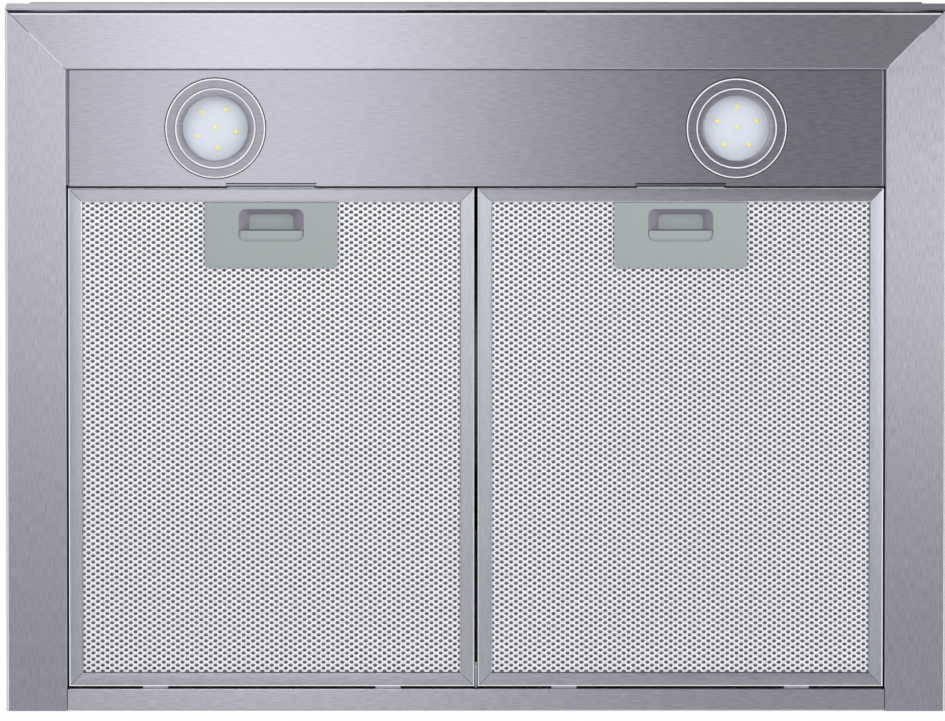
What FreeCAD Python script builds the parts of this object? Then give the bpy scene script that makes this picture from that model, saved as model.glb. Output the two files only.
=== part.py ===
"""Range hood insert, 60 cm wide, as an assembly of separate pieces.

Frame: millimetres, +Z up, +X to the right of a cook who stands at the front (-Y). The origin is the
middle of the underside, so the rim's visible face lies at z = 0 and looks down.
"""
import FreeCAD, Part
import Sketcher
import math
import os
import re
from FreeCAD import Placement, Rotation, Vector

# ---------------------------------------------------------------- driving sizes, in millimetres
SIZES = {
    # rim: the stainless tray that shows under the cabinet
    "rim_width": 600.0,
    "rim_depth": 450.0,
    "rim_height": 46.0,
    "rail_width": 39.0,          # visible width of the front rail and the two stiles
    "rear_rail_width": 15.0,
    "steel": 1.0,                # sheet thickness
    "fold_radius": 1.2,
    "inner_return": 10.0,        # height of the folded edge round the opening
    "front_return": 12.0,
    "top_return": 14.0,
    "fascia_gap": 1.0,           # shadow line between the fascia and the front rail
    "mitre_gap": 0.25,
    "hem_radius": 1.5,           # rolled edge that the filters hook on
    "flange_height": 25.0,
    "flange_setback": 0.5,       # of the cabinet flange's ends from the stiles' top lips
    "flange_screw_spacing": 400.0,
    "flange_screw_height": 15.0,  # above the cabinet flange's foot
    "screw_hole_radius": 2.5,
    # lamp panel and lamps
    "panel_depth": 74.0,
    "panel_recess": 1.5,
    "panel_side_gap": 1.0,
    "panel_front_gap": 0.6,
    "panel_front_return": 9.0,
    "panel_rear_return": 26.0,
    "lamp_spacing": 332.0,
    "bezel_radius": 32.5,
    "bezel_lift": 0.2,           # the bezel's face above the rim's face
    "bezel_step_radius": 25.5,
    "bezel_step": 0.7,
    "bezel_seat_height": 8.0,    # top of the bezel's socket
    "socket_radius": 28.4,
    "socket_clearance": 0.6,
    "lens_opening_radius": 20.75,
    "lens_recess": 2.6,          # from the bezel's face up to the lens
    "lens_ledge": 0.85,
    "lens_clearance": 0.2,
    "lens_thickness": 2.0,
    "board_radius": 26.0,
    "board_thickness": 1.2,
    "chip_circle_radius": 13.3,
    "chip_length": 2.8,
    "chip_width": 2.4,
    "chip_height": 0.6,
    "lamp_body_radius": 27.5,
    "lamp_body_height": 16.0,
    "clip_thickness": 0.8,
    "clip_width": 9.0,
    "clip_height": 14.4,         # where the clips leave the lamp body, above its foot
    "clip_reach": 11.0,
    "clip_foot": 4.0,
    # grease filters
    "filter_side_gap": 1.3,
    "filter_centre_gap": 2.4,
    "filter_front_gap": 1.2,
    "filter_rear_gap": 1.0,
    "filter_lift": 0.5,
    "filter_thickness": 9.0,
    "filter_face": 9.0,
    "filter_wall": 1.0,
    "filter_edge_radius": 0.6,
    "corner_slit": 0.3,
    "mesh_thickness": 1.4,
    "mesh_clearance": 0.2,
    "diamond_width": 50.0,
    "diamond_row": 18.0,
    "strand_width": 7.0,
    "mesh_border": 2.0,          # solid edge round the latch's notch
    "core_sheet": 0.9,
    "core_wave": 14.0,
    "hook_width": 16.0,
    "hook_thickness": 0.9,
    "hook_clearance": 0.05,
    "hook_web_drop": 0.3,
    "hook_inset": 55.0,
    "divider_thickness": 1.6,
    "divider_reach": 15.5,
    "divider_height": 11.0,
    "divider_foot": 6.0,
    # latch of each filter
    "latch_width": 84.8,
    "latch_length": 41.8,
    "latch_corner": 2.6,
    "latch_skin": 1.0,
    "latch_gap": 0.2,            # between the plate and the filter frame's face
    "recess_width": 41.5,
    "recess_length": 20.8,
    "recess_corner": 4.5,
    "recess_setback": 4.1,
    "recess_depth": 7.0,
    "recess_slope": 3.0,
    "ledge_length": 7.2,
    "latch_box_width": 74.0,
    "latch_box_wall": 1.3,
    "slider_thickness": 2.5,
    "slider_play": 0.3,
    "slider_tail": 2.0,          # what stays under the plate behind the thumb ledge
    "arm_width": 5.5,
    "tongue_reach": 0.8,
    "keeper_clearance": 1.0,
    "spring_length": 9.5,
    "spring_radius": 1.35,
    "spring_wire": 0.5,
    # liner that goes up into the cabinet
    "liner_top_height": 250.0,
    "lid_lip": 14.0,
    "side_screw_spacing_y": 300.0,
    "side_screw_spacing_z": 120.0,
    "side_screw_height": 140.0,
    "case_screw_spacing": 360.0,  # of the two in the liner's front
    # blower
    "blower_depth": 0.0,         # shaft's place along Y
    "blower_height": 130.0,
    "impeller_radius": 75.0,
    "impeller_width": 120.0,
    "blade_depth": 14.0,
    "blade_thickness": 1.0,
    "blade_flats": 2.0,          # straight facets that follow the blade's curve
    "blade_lean": 9.0,           # degrees that the tip leads the root
    "blade_camber": 3.5,
    "blade_tip_inset": 0.5,
    "blade_count": 32.0,
    "end_ring_width": 3.0,
    "end_ring_depth": 6.0,
    "disc_thickness": 2.4,
    "hub_radius": 12.0,
    "hub_length": 14.0,
    "shaft_radius": 4.0,
    "shaft_clearance": 0.05,
    "scroll_reach": 115.0,       # spiral's largest radius, at the outlet
    "scroll_start": 81.0,        # and its smallest, at the cut-off tongue
    "scroll_sweep": 275.0,
    "scroll_clearance": 7.0,     # from the impeller's end to the cheek
    "outlet_flange": 14.0,
    "inlet_radius": 57.0,
    "inlet_flange": 9.0,
    "inlet_lip": 5.0,
    "inlet_sheet": 1.2,
    "motor_radius": 38.0,
    "motor_crown_radius": 27.4,
    "motor_shoulder": 9.5,       # height of the bearing housing on the motor's face
    "motor_socket": 24.0,        # depth of the bearing bore
    "shaft_insertion": 18.0,
    "shaft_overhang": 2.0,
    "motor_gap": 5.0,            # from the motor's face to the impeller's disc
    "spider_thickness": 3.0,
    "spider_arm": 12.0,
    "spider_ring": 14.0,
    "spider_setback": 1.0,       # of the arms' ends from the inlet ring's edge
    # duct collar and its non-return flaps
    "collar_radius": 74.5,
    "collar_wall": 2.0,
    "collar_height": 50.0,
    "collar_flange": 15.0,
    "collar_flange_thickness": 2.0,
    "collar_screw_offset": 8.25,  # from the collar's outside to its screws
    "flap_height": 22.0,         # hinge line above the collar's foot
    "flap_thickness": 1.2,
    "flap_clearance": 0.8,
    "flap_ledge": 2.5,
    "flap_setoff": 4.5,          # each flap's straight edge from the hinge line
    "pin_radius": 2.0,
    "pin_clearance": 0.02,
    "pin_setback": 0.5,
    "knuckle_wall": 1.2,
    "knuckle_length": 24.0,
    "knuckle_gap": 0.5,
    # push buttons
    "button_radius": 4.6,
    "button_clearance": 0.3,
    "button_pitch": 18.0,
    "button_height": 23.0,
    "button_travel": 2.5,
    "button_length": 10.4,
    "button_stop": 0.2,          # left behind a button that is pressed home
    "button_inset": 0.1,
    "switch_length": 88.0,
    "switch_depth": 22.0,
    "switch_height": 20.0,
    # mains junction box
    "junction_offset": 67.0,     # from the liner's right side to the box's middle
    "junction_setback": 87.0,    # from the liner's front
    "junction_length": 90.0,
    "junction_width": 80.0,
    "junction_height": 32.0,
    "junction_wall": 2.0,
    "junction_lid": 3.0,
    "junction_lid_edge": 1.2,
    "gland_radius": 8.0,
    "gland_bore_radius": 3.6,
    "gland_neck_radius": 6.0,
    "gland_clearance": 0.1,
    "gland_length": 12.0,
    "gland_grip": 7.2,           # height of the hexagon that a spanner turns
    # screws
    "screw_head_radius": 4.0,    # over the hexagon's corners
    "screw_head_height": 2.2,
    "screw_shank_radius": 1.9,
    "screw_shank_length": 6.0,
    "screw_clearance": 0.1,
}
OVERRUN = 1                      # how far a cutting tool goes past what it cuts
LAMP_CHIP_COUNT = 5              # on the circle, with one more in the middle
SPIDER_ARMS = 3
SPIRAL_ARCS = 5
SHANK_SIDES = 8                  # flats that stand for a screw's thread
LAMP_SIDES = 40                  # flats round a lamp's board and body
LAMP_CHIP_TURN = {"left": 60.4, "right": 90.0}
BUTTONS = ("light_button", "low_speed_button", "mid_speed_button", "high_speed_button")
SIDES = (("left", -1), ("right", 1))

# ---------------------------------------------------------------- places worked out from the sizes
FRONT = "(-rim_depth / 2)"
REAR = "(rim_depth / 2)"
SIDE = "(rim_width / 2)"
RAIL_FRONT = f"({FRONT} + steel + fascia_gap)"
OPENING_FRONT = f"({FRONT} + rail_width)"
OPENING_REAR = f"({REAR} - rear_rail_width)"
OPENING_SIDE = "(rim_width / 2 - rail_width)"
HEM_Y = f"({OPENING_REAR} + hem_radius)"

LINER_SIDE = f"({OPENING_SIDE} + steel)"
LINER_FRONT = f"({OPENING_FRONT} - steel)"
LINER_REAR = f"({REAR} - 2 * steel)"
LID_BOTTOM = "(liner_top_height - steel)"

PANEL_FRONT = f"({OPENING_FRONT} + panel_front_gap)"
PANEL_REAR = f"({PANEL_FRONT} + panel_depth)"
PANEL_SIDE = f"({OPENING_SIDE} - panel_side_gap)"
LAMP_Y = f"({PANEL_FRONT} + panel_depth / 2)"
BOARD_Z = "bezel_seat_height"
LAMP_BODY_Z = "(bezel_seat_height + board_thickness)"
LENS_Z = "(bezel_lift + lens_recess)"

FILTER_FRONT = f"({PANEL_REAR} + filter_front_gap)"
FILTER_REAR = f"({OPENING_REAR} - filter_rear_gap)"
FILTER_INNER = "(filter_centre_gap / 2)"
FILTER_OUTER = f"({OPENING_SIDE} - filter_side_gap)"
FILTER_MIDDLE = f"(({FILTER_INNER} + {FILTER_OUTER}) / 2)"
FILTER_TOP = "(filter_lift + filter_thickness)"
MESH_Z = "(filter_lift + filter_wall)"
CORE_Z = f"({MESH_Z} + mesh_thickness)"
CORE_TOP = f"({FILTER_TOP} - filter_wall)"

LATCH_FRONT = f"({FILTER_FRONT} + filter_face + latch_gap)"
LATCH_REAR = f"({LATCH_FRONT} + latch_length)"
RECESS_FRONT = f"({LATCH_FRONT} + recess_setback)"
RECESS_REAR = f"({RECESS_FRONT} + recess_length)"
LEDGE_FRONT = f"({RECESS_REAR} - ledge_length)"
SLIDER_Z = f"({MESH_Z} + slider_play)"
SLIDER_TOP = f"({SLIDER_Z} + slider_thickness)"
SLIDER_REAR = f"({RECESS_REAR} + slider_tail)"
SLIDER_SIDE = "(recess_width / 2 + latch_box_wall + slider_play + arm_width)"
TRACK_TOP = f"({SLIDER_TOP} + slider_play)"
LATCH_BOX_REAR = f"({SLIDER_REAR} + spring_length + latch_box_wall)"

JUNCTION_X = f"({LINER_SIDE} - junction_offset)"
JUNCTION_Y = f"({LINER_FRONT} + junction_setback)"
COLLAR_SCREW = "((collar_radius + collar_screw_offset) * cos(45deg))"
BLOWER_HALF = "(impeller_width / 2 + scroll_clearance)"
OUTLET_REAR = "(blower_depth + scroll_reach)"
COLLAR_TOP = "(liner_top_height + collar_height)"
FLAP_Z = "(liner_top_height + flap_height)"
COLLAR_BORE = "(collar_radius - collar_wall)"

doc = FreeCAD.newDocument("RangeHoodInsert")
sheet = doc.addObject("Spreadsheet::Sheet", "Sizes")
for row, (word, amount) in enumerate(SIZES.items(), start=1):
    sheet.set(f"A{row}", word)
    sheet.set(f"B{row}", str(amount))
    sheet.setAlias(f"B{row}", word)
doc.recompute()

pieces = []


# ---------------------------------------------------------------- helpers
def tied(text):
    """Put the sheet's name before every size that an expression names."""
    return re.sub(r"[a-z][a-z_]*", lambda word: f"Sizes.{word[0]}" if word[0] in SIZES else word[0], str(text))


def number(text):
    """An expression's present value, for the pieces that are worked out in code."""
    return float(sheet.evalExpression(tied(text)))


def piece(item, label):
    """Name a finished piece and keep it for the export."""
    item.Label = label
    pieces.append(item)
    return item


def new_body(label):
    return piece(doc.addObject("PartDesign::Body", label), label)


def place(item, **where):
    for axis, text in where.items():
        item.setExpression(f"Placement.Base.{axis}", tied(text))
    return item


def draw(body, plane, outlines, circles=(), offset="0"):
    """A sketch on one of the body's origin planes, with every corner and circle tied to the sheet."""
    sketch = body.newObject("Sketcher::SketchObject", f"{body.Name}_sketch")
    origin_plane = next(part for part in body.Origin.OriginFeatures if part.Role == plane)
    sketch.AttachmentSupport = [(origin_plane, "")]
    sketch.MapMode = "FlatFace"
    sketch.setExpression("AttachmentOffset.Base.z", tied(offset))
    for outline in outlines:
        corners = [Vector(number(across), number(up), 0) for across, up in outline]
        first = sketch.GeometryCount
        for here, there in zip(corners, corners[1:] + corners[:1]):
            sketch.addGeometry(Part.LineSegment(here, there))
        count = len(corners)
        for step in range(count):
            pair = (first + step, 2, first + (step + 1) % count, 1)
            sketch.addConstraint(Sketcher.Constraint("Coincident", *pair))
        for step, (across, up) in enumerate(outline):
            tie_point(sketch, first + step, 1, across, up)
    for across, up, radius in circles:
        centre = Vector(number(across), number(up), 0)
        ring = sketch.addGeometry(Part.Circle(centre, Vector(0, 0, 1), number(radius)))
        tie_point(sketch, ring, 3, across, up)
        held = sketch.addConstraint(Sketcher.Constraint("Radius", ring, number(radius)))
        sketch.setExpression(f"Constraints[{held}]", tied(radius))
    return sketch


def tie_point(sketch, geometry, point, across, up):
    for kind, text in (("DistanceX", across), ("DistanceY", up)):
        held = sketch.addConstraint(Sketcher.Constraint(kind, -1, 1, geometry, point, number(text)))
        sketch.setExpression(f"Constraints[{held}]", tied(text))


def pad(body, plane, outline, length, offset="0", symmetric=False, reverse=False, circles=()):
    feature = body.newObject("PartDesign::Pad", f"{body.Name}_pad")
    feature.Profile = draw(body, plane, [outline] if outline else [], circles, offset)
    feature.setExpression("Length", tied(length))
    feature.SideType = "Symmetric" if symmetric else "One side"
    feature.Reversed = reverse
    return feature


def pocket(body, plane, outlines, circles=()):
    """A cut right through the body, both ways from the plane."""
    feature = body.newObject("PartDesign::Pocket", f"{body.Name}_pocket")
    feature.Profile = draw(body, plane, outlines, circles)
    feature.SideType = "Symmetric"
    feature.Type = "ThroughAll"
    return feature


def turned(label, outline, axis="Z"):
    """A round piece: (radius, height) corners turned about the body's own axis."""
    body = new_body(label)
    plane = {"Z": "XZ_Plane", "X": "XY_Plane"}[axis]
    corners = outline if axis == "Z" else [(along, radius) for radius, along in outline]
    sketch = draw(body, plane, [corners])
    feature = body.newObject("PartDesign::Revolution", f"{label}_turn")
    feature.Profile = sketch
    feature.ReferenceAxis = (sketch, ["V_Axis" if axis == "Z" else "H_Axis"])
    return body


def fold(body, feature, radius, at):
    """Round the outside of the bends whose straight edges lie at the given places."""
    doc.recompute()
    spots = [{axis: number(text) for axis, text in spot.items()} for spot in at]
    edges = straight_edges(feature.Shape, spots)
    bend = body.newObject("PartDesign::Fillet", f"{body.Name}_folds")
    bend.Base = (feature, edges)
    bend.setExpression("Radius", tied(radius))
    return bend


def straight_edges(shape, places):
    """Names of the edges whose two ends both lie at one of the places, such as {'y': 3, 'z': 0}."""
    found = []
    for index, edge in enumerate(shape.Edges, start=1):
        ends = [vertex.Point for vertex in edge.Vertexes]
        for spot in places:
            if all(abs(getattr(end, axis) - value) < 1e-4 for end in ends for axis, value in spot.items()):
                found.append(f"Edge{index}")
    return found


def box(name, low, high):
    """A block from its low corner to its high corner, both given as expressions."""
    block = doc.addObject("Part::Box", name)
    for side, axis, start, end in zip(("Length", "Width", "Height"), "xyz", low, high):
        block.setExpression(side, tied(f"({end}) - ({start})"))
        block.setExpression(f"Placement.Base.{axis}", tied(start))
    return block


def rod(name, axis, centre, radius, length):
    """A cylinder that starts at centre and runs along +X, +Y or +Z."""
    turn = {"x": Rotation(Vector(0, 1, 0), 90), "y": Rotation(Vector(1, 0, 0), -90), "z": Rotation()}[axis]
    cylinder = doc.addObject("Part::Cylinder", name)
    cylinder.Placement = Placement(Vector(), turn)
    cylinder.setExpression("Radius", tied(radius))
    cylinder.setExpression("Height", tied(length))
    return place(cylinder, **dict(zip("xyz", centre)))


def fuse(name, shapes):
    joined = doc.addObject("Part::MultiFuse", name)
    joined.Shapes = shapes
    return joined


def cut(name, base, tools):
    result = doc.addObject("Part::Cut", name)
    result.Base = base
    result.Tool = tools[0] if len(tools) == 1 else fuse(f"{name}_cutters", tools)
    return result


def rounded(name, source, radius, places):
    """Round straight edges of a plain solid."""
    doc.recompute()
    size = number(radius)
    feature = doc.addObject("Part::Fillet", name)
    feature.Base = source
    spots = [{axis: number(text) for axis, text in spot.items()} for spot in places]
    feature.Edges = [(int(edge[4:]), size, size) for edge in straight_edges(source.Shape, spots)]
    return feature


def shaped(label, shape):
    """A piece whose form is worked out in code from the sheet's sizes."""
    feature = doc.addObject("Part::Feature", label)
    feature.Shape = shape
    return piece(feature, label)


def prism(radius, height, sides=6):
    """A regular prism on the XY plane, its radius measured over the corners."""
    turns = [2 * math.pi * corner / sides for corner in range(sides + 1)]
    outline = Part.makePolygon([Vector(radius * math.cos(turn), radius * math.sin(turn), 0) for turn in turns])
    return Part.Face(outline).extrude(Vector(0, 0, height))


def mirrored_span(sign, near, far):
    """The low and high X of something that runs from near to far on one side of the middle."""
    return (near, far) if sign > 0 else (f"-({far})", f"-({near})")


# ---------------------------------------------------------------- rim
def mitre_outlines(keep):
    """The corners that a 45 degree mitre takes off, left and right, seen from above."""
    spare = 20
    outlines = []
    for sign in (-1, 1):
        slack = "mitre_gap" if keep == "front" else "-mitre_gap"
        line = [(f"{sign} * ({SIDE} - {slack} + {spare})", f"{FRONT} - {spare}"),
                (f"{sign} * ({OPENING_SIDE} - {slack} - {spare})", f"{OPENING_FRONT} + {spare}")]
        if keep == "front":
            far = [(f"{sign} * ({SIDE} + 2 * {spare})", f"{OPENING_FRONT} + {spare}"),
                   (f"{sign} * ({SIDE} + 2 * {spare})", f"{FRONT} - {spare}")]
        else:
            far = [(f"{sign} * ({OPENING_SIDE} - 2 * {spare})", f"{OPENING_FRONT} + {spare}"),
                   (f"{sign} * ({OPENING_SIDE} - 2 * {spare})", f"{FRONT} - {spare}")]
        outlines.append(line + far)
    return outlines


def front_rail():
    body = new_body("front_rail")
    profile = pad(body, "YZ_Plane", [
        (RAIL_FRONT, "0"), (OPENING_FRONT, "0"), (OPENING_FRONT, "inner_return"),
        (f"{OPENING_FRONT} - steel", "inner_return"), (f"{OPENING_FRONT} - steel", "steel"),
        (f"{RAIL_FRONT} + steel", "steel"), (f"{RAIL_FRONT} + steel", "front_return"),
        (RAIL_FRONT, "front_return")], "rim_width", symmetric=True)
    fold(body, profile, "fold_radius", at=[{"y": RAIL_FRONT, "z": "0"}, {"y": OPENING_FRONT, "z": "0"}])
    pocket(body, "XY_Plane", mitre_outlines("front"))


def stile(side, sign):
    body = new_body(f"{side}_stile")
    outer = f"{sign} * {SIDE}"
    inner = f"{sign} * {OPENING_SIDE}"
    wall = f"{sign} * ({SIDE} - steel)"
    lip = f"{sign} * ({SIDE} - top_return)"
    back = f"{sign} * ({OPENING_SIDE} + steel)"
    profile = pad(body, "XZ_Plane", [
        (outer, "0"), (inner, "0"), (inner, "inner_return"), (back, "inner_return"), (back, "steel"),
        (wall, "steel"), (wall, "rim_height - steel"), (lip, "rim_height - steel"),
        (lip, "rim_height"), (outer, "rim_height")], "rim_depth - steel", offset=f"-{REAR}")
    fold(body, profile, "fold_radius", at=[{"x": outer, "z": "0"}, {"x": inner, "z": "0"},
                                           {"x": outer, "z": "rim_height"}])
    pad(body, "XZ_Plane", [(back, "steel"), (wall, "steel"), (wall, "rim_height - steel"),
                           (back, "rim_height - steel")], "steel", offset=f"-{REAR}")
    outlines = mitre_outlines("side")
    pocket(body, "XY_Plane", [outlines[0] if sign < 0 else outlines[1]])


def rear_rail():
    """Narrow rail between the stiles; its inner edge is rolled for the filters' hooks."""
    body = new_body("rear_rail")
    width = f"2 * ({OPENING_SIDE} - mitre_gap)"
    profile = pad(body, "YZ_Plane", [
        (HEM_Y, "0"), (REAR, "0"), (REAR, "rim_height"), (f"{REAR} - steel", "rim_height"),
        (f"{REAR} - steel", "steel"), (HEM_Y, "steel")], width, symmetric=True)
    bends = fold(body, profile, "fold_radius", at=[{"y": REAR, "z": "0"}])
    hem = pad(body, "YZ_Plane", None, width, symmetric=True, circles=[(HEM_Y, "hem_radius", "hem_radius")])
    hem.BaseFeature = bends


def front_fascia():
    body = new_body("front_fascia")
    profile = pad(body, "YZ_Plane", [
        (FRONT, "0"), (f"{FRONT} + steel", "0"), (f"{FRONT} + steel", "rim_height - steel"),
        (f"{FRONT} + top_return", "rim_height - steel"), (f"{FRONT} + top_return", "rim_height"),
        (FRONT, "rim_height")], "rim_width", symmetric=True)
    fold(body, profile, "fold_radius", at=[{"y": FRONT, "z": "rim_height"}])
    pocket(body, "XY_Plane", mitre_outlines("front"))
    holes = body.newObject("PartDesign::Pocket", "button_holes")
    rings = [(button_x(index), "button_height", "button_radius + button_clearance")
             for index in range(len(BUTTONS))]
    holes.Profile = draw(body, "XZ_Plane", [], rings, offset=f"-{FRONT}")
    holes.setExpression("Length", tied("2 * steel"))
    holes.SideType = "Symmetric"


def cabinet_flange():
    """Angle on the fascia's top lip; the cabinet's front is screwed to it."""
    body = new_body("cabinet_flange")
    foot, top = "rim_height", "(rim_height + flange_height)"
    near, far = f"({FRONT} + steel)", f"({FRONT} + top_return)"
    pad(body, "YZ_Plane", [
        (near, foot), (far, foot), (far, f"{foot} + steel"), (f"{near} + steel", f"{foot} + steel"),
        (f"{near} + steel", top), (near, top)], "rim_width - 2 * (top_return + flange_setback)", symmetric=True)
    height = f"{foot} + flange_screw_height"
    pocket(body, "XZ_Plane", [], [(f"{sign} * flange_screw_spacing / 2", height, "screw_hole_radius")
                                  for sign in (-1, 1)])


def filter_divider():
    """Small bracket on the rear rail that stands up between the two filters."""
    back = f"({HEM_Y} + hem_radius)"
    end = f"({REAR} - 3 * steel)"
    over_hem = "(2 * hem_radius + slider_play)"
    half = "divider_thickness / 2"
    blade = box("divider_blade", (f"-{half}", f"{FILTER_REAR} - divider_reach", "steel"),
                (half, f"{OPENING_REAR} - filter_rear_gap / 2", f"{over_hem} + divider_height"))
    bridge = box("divider_bridge", (f"-{half}", f"{OPENING_REAR} - filter_rear_gap", over_hem),
                 (half, end, f"{over_hem} + divider_height"))
    start = f"{back} + steel"
    stem = box("divider_stem", (f"-{half}", start, "steel"), (half, end, f"{over_hem} + steel"))
    foot = box("divider_foot", ("-divider_foot", start, "steel"), ("divider_foot", end, "2 * steel"))
    piece(fuse("filter_divider", [blade, bridge, stem, foot]), "filter_divider")


# ---------------------------------------------------------------- liner
def screw_spots():
    """Case screws: (axis, sign, x, y, z) of each head's seat, one in each side of the lid, two in front."""
    height = "(liner_top_height - lid_lip / 2)"
    middle = f"({LINER_FRONT} + {LINER_REAR}) / 2"
    spots = []
    for hand in (-1, 1):
        spots.append(("x", hand, f"{hand} * ({LINER_SIDE} + 2 * steel)", middle, height))
        spots.append(("y", -1, f"{hand} * case_screw_spacing / 2", f"{LINER_FRONT} - 2 * steel", height))
    return spots


def top_screw_spots():
    """Four screws from above hold the collar, the lid and the blower's flanges together."""
    return [(f"{a} * {COLLAR_SCREW}", f"{outlet_centre()} + {b} * {COLLAR_SCREW}",
             "liner_top_height + collar_flange_thickness") for a in (-1, 1) for b in (-1, 1)]


def outlet_centre():
    return f"(({OUTLET_REAR} + {tongue_y()}) / 2)"


def tongue_y():
    """Y of the outlet's front wall, where the spiral ends."""
    return "(blower_depth + scroll_start * cos((360 - scroll_sweep) * 1deg))"


def screw_tool(name, axis, sign, x, y, z):
    """The clearance hole of a screw that is driven against the sign of its axis."""
    length = "screw_shank_length"
    start = {"x": x, "y": y, "z": z}
    if sign > 0:
        start[axis] = f"{start[axis]} - {length}"
    return rod(name, axis, (start["x"], start["y"], start["z"]), "screw_shank_radius + screw_clearance", length)


def liner_plates():
    low = "steel"
    for side, sign in SIDES:
        near, far = mirrored_span(sign, LINER_SIDE, f"{LINER_SIDE} + steel")
        plate = box(f"{side}_plate", (near, f"{LINER_FRONT} - steel", low),
                    (far, f"{LINER_REAR} + steel", LID_BOTTOM))
        middle = f"({LINER_FRONT} + {LINER_REAR}) / 2"
        holes = [rod(f"{side}_fixing", "x", (near, f"{middle} + {a} * side_screw_spacing_y / 2",
                                             f"side_screw_height + {b} * side_screw_spacing_z / 2"),
                     "screw_hole_radius", "steel") for a in (-1, 1) for b in (-1, 1)]
        holes += [screw_tool(f"{side}_lid_hole", *spot) for spot in screw_spots()
                  if spot[0] == "x" and spot[1] == sign]
        piece(cut(f"liner_{side}", plate, holes), f"liner_{side}")
    front = box("front_plate", (f"-{LINER_SIDE}", f"{LINER_FRONT} - steel", low),
                (LINER_SIDE, LINER_FRONT, LID_BOTTOM))
    holes = [screw_tool("front_lid_hole", *spot) for spot in screw_spots() if spot[0] == "y"]
    piece(cut("liner_front", front, holes), "liner_front")
    rear = box("liner_rear", (f"-{LINER_SIDE}", LINER_REAR, "inner_return"),
               (LINER_SIDE, f"{LINER_REAR} + steel", LID_BOTTOM))
    piece(rear, "liner_rear")


def liner_top():
    """Lid with a turned-down lip, a round duct hole and the screw holes."""
    edge = f"({LINER_SIDE} + 2 * steel)"
    front = f"({LINER_FRONT} - 2 * steel)"
    rear = f"({LINER_REAR} + 2 * steel)"
    foot = "(liner_top_height - lid_lip)"
    outside = box("lid_outside", (f"-{edge}", front, foot), (edge, rear, "liner_top_height"))
    inside = box("lid_inside", (f"-({edge} - steel)", f"{front} + steel", f"{foot} - steel"),
                 (f"{edge} - steel", f"{rear} - steel", LID_BOTTOM))
    duct = rod("duct_hole", "z", ("0", outlet_centre(), f"{LID_BOTTOM} - steel"), COLLAR_BORE, "3 * steel")
    tools = [inside, duct]
    tools += [screw_tool("lid_side_hole", *spot) for spot in screw_spots()]
    tools += [screw_tool("lid_top_hole", "z", 1, *spot) for spot in top_screw_spots()]
    piece(cut("liner_top", outside, tools), "liner_top")


def screws(label, spots):
    """Hexagon-head sheet-metal screws as one group of separate solids."""
    made = []
    for axis, sign, x, y, z in spots:
        turn = {("x", 1): Rotation(Vector(0, 1, 0), 90), ("x", -1): Rotation(Vector(0, 1, 0), -90),
                ("y", -1): Rotation(Vector(1, 0, 0), 90), ("z", 1): Rotation()}[(axis, sign)]
        head = prism(number("screw_head_radius"), number("screw_head_height"))
        length = number("screw_shank_length")
        shank = prism(number("screw_shank_radius"), length, SHANK_SIDES).translated(Vector(0, 0, -length))
        screw = head.fuse(shank).removeSplitter()
        screw.Placement = Placement(Vector(number(x), number(y), number(z)), turn)
        made.append(screw)
    shaped(label, Part.makeCompound(made))


# ---------------------------------------------------------------- lamp panel and lamps
def lamp_panel():
    """Folded panel whose end lips hang on the stiles' inner returns."""
    body = new_body("lamp_panel")
    bottom = "panel_recess"
    corners = [(PANEL_SIDE, bottom), (PANEL_SIDE, "inner_return"), (LINER_SIDE, "inner_return"),
               (LINER_SIDE, "inner_return + steel"), (f"({PANEL_SIDE} - steel)", "inner_return + steel"),
               (f"({PANEL_SIDE} - steel)", f"{bottom} + steel")]
    other = [(f"-{across}", up) for across, up in reversed(corners)]
    profile = pad(body, "XZ_Plane", corners + other, "panel_depth", offset=f"-{PANEL_REAR}")
    fold(body, profile, "fold_radius", at=[{"x": end, "z": bottom} for end in (PANEL_SIDE, f"-{PANEL_SIDE}")])
    inner = f"({PANEL_SIDE} - steel)"
    for start, top in ((PANEL_FRONT, "panel_front_return"), (f"{PANEL_REAR} - steel", "panel_rear_return")):
        pad(body, "YZ_Plane", [(start, f"{bottom} + steel / 2"), (f"{start} + steel", f"{bottom} + steel / 2"),
                               (f"{start} + steel", top), (start, top)], f"2 * {inner}", symmetric=True)
    pocket(body, "XY_Plane", [], [(f"{sign} * lamp_spacing / 2", LAMP_Y, "socket_radius + socket_clearance")
                                  for sign in (-1, 1)])
    slots = body.newObject("PartDesign::Pocket", "keeper_slots")
    half = f"({SLIDER_SIDE} + keeper_clearance)"
    top = f"{TRACK_TOP} + keeper_clearance"
    slots.Profile = draw(body, "XZ_Plane", [
        [(f"{sign} * {FILTER_MIDDLE} - {half}", MESH_Z), (f"{sign} * {FILTER_MIDDLE} + {half}", MESH_Z),
         (f"{sign} * {FILTER_MIDDLE} + {half}", top), (f"{sign} * {FILTER_MIDDLE} - {half}", top)]
        for sign in (-1, 1)], offset=f"-{PANEL_REAR}")
    slots.setExpression("Length", tied("4 * steel"))
    slots.SideType = "Symmetric"


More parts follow.
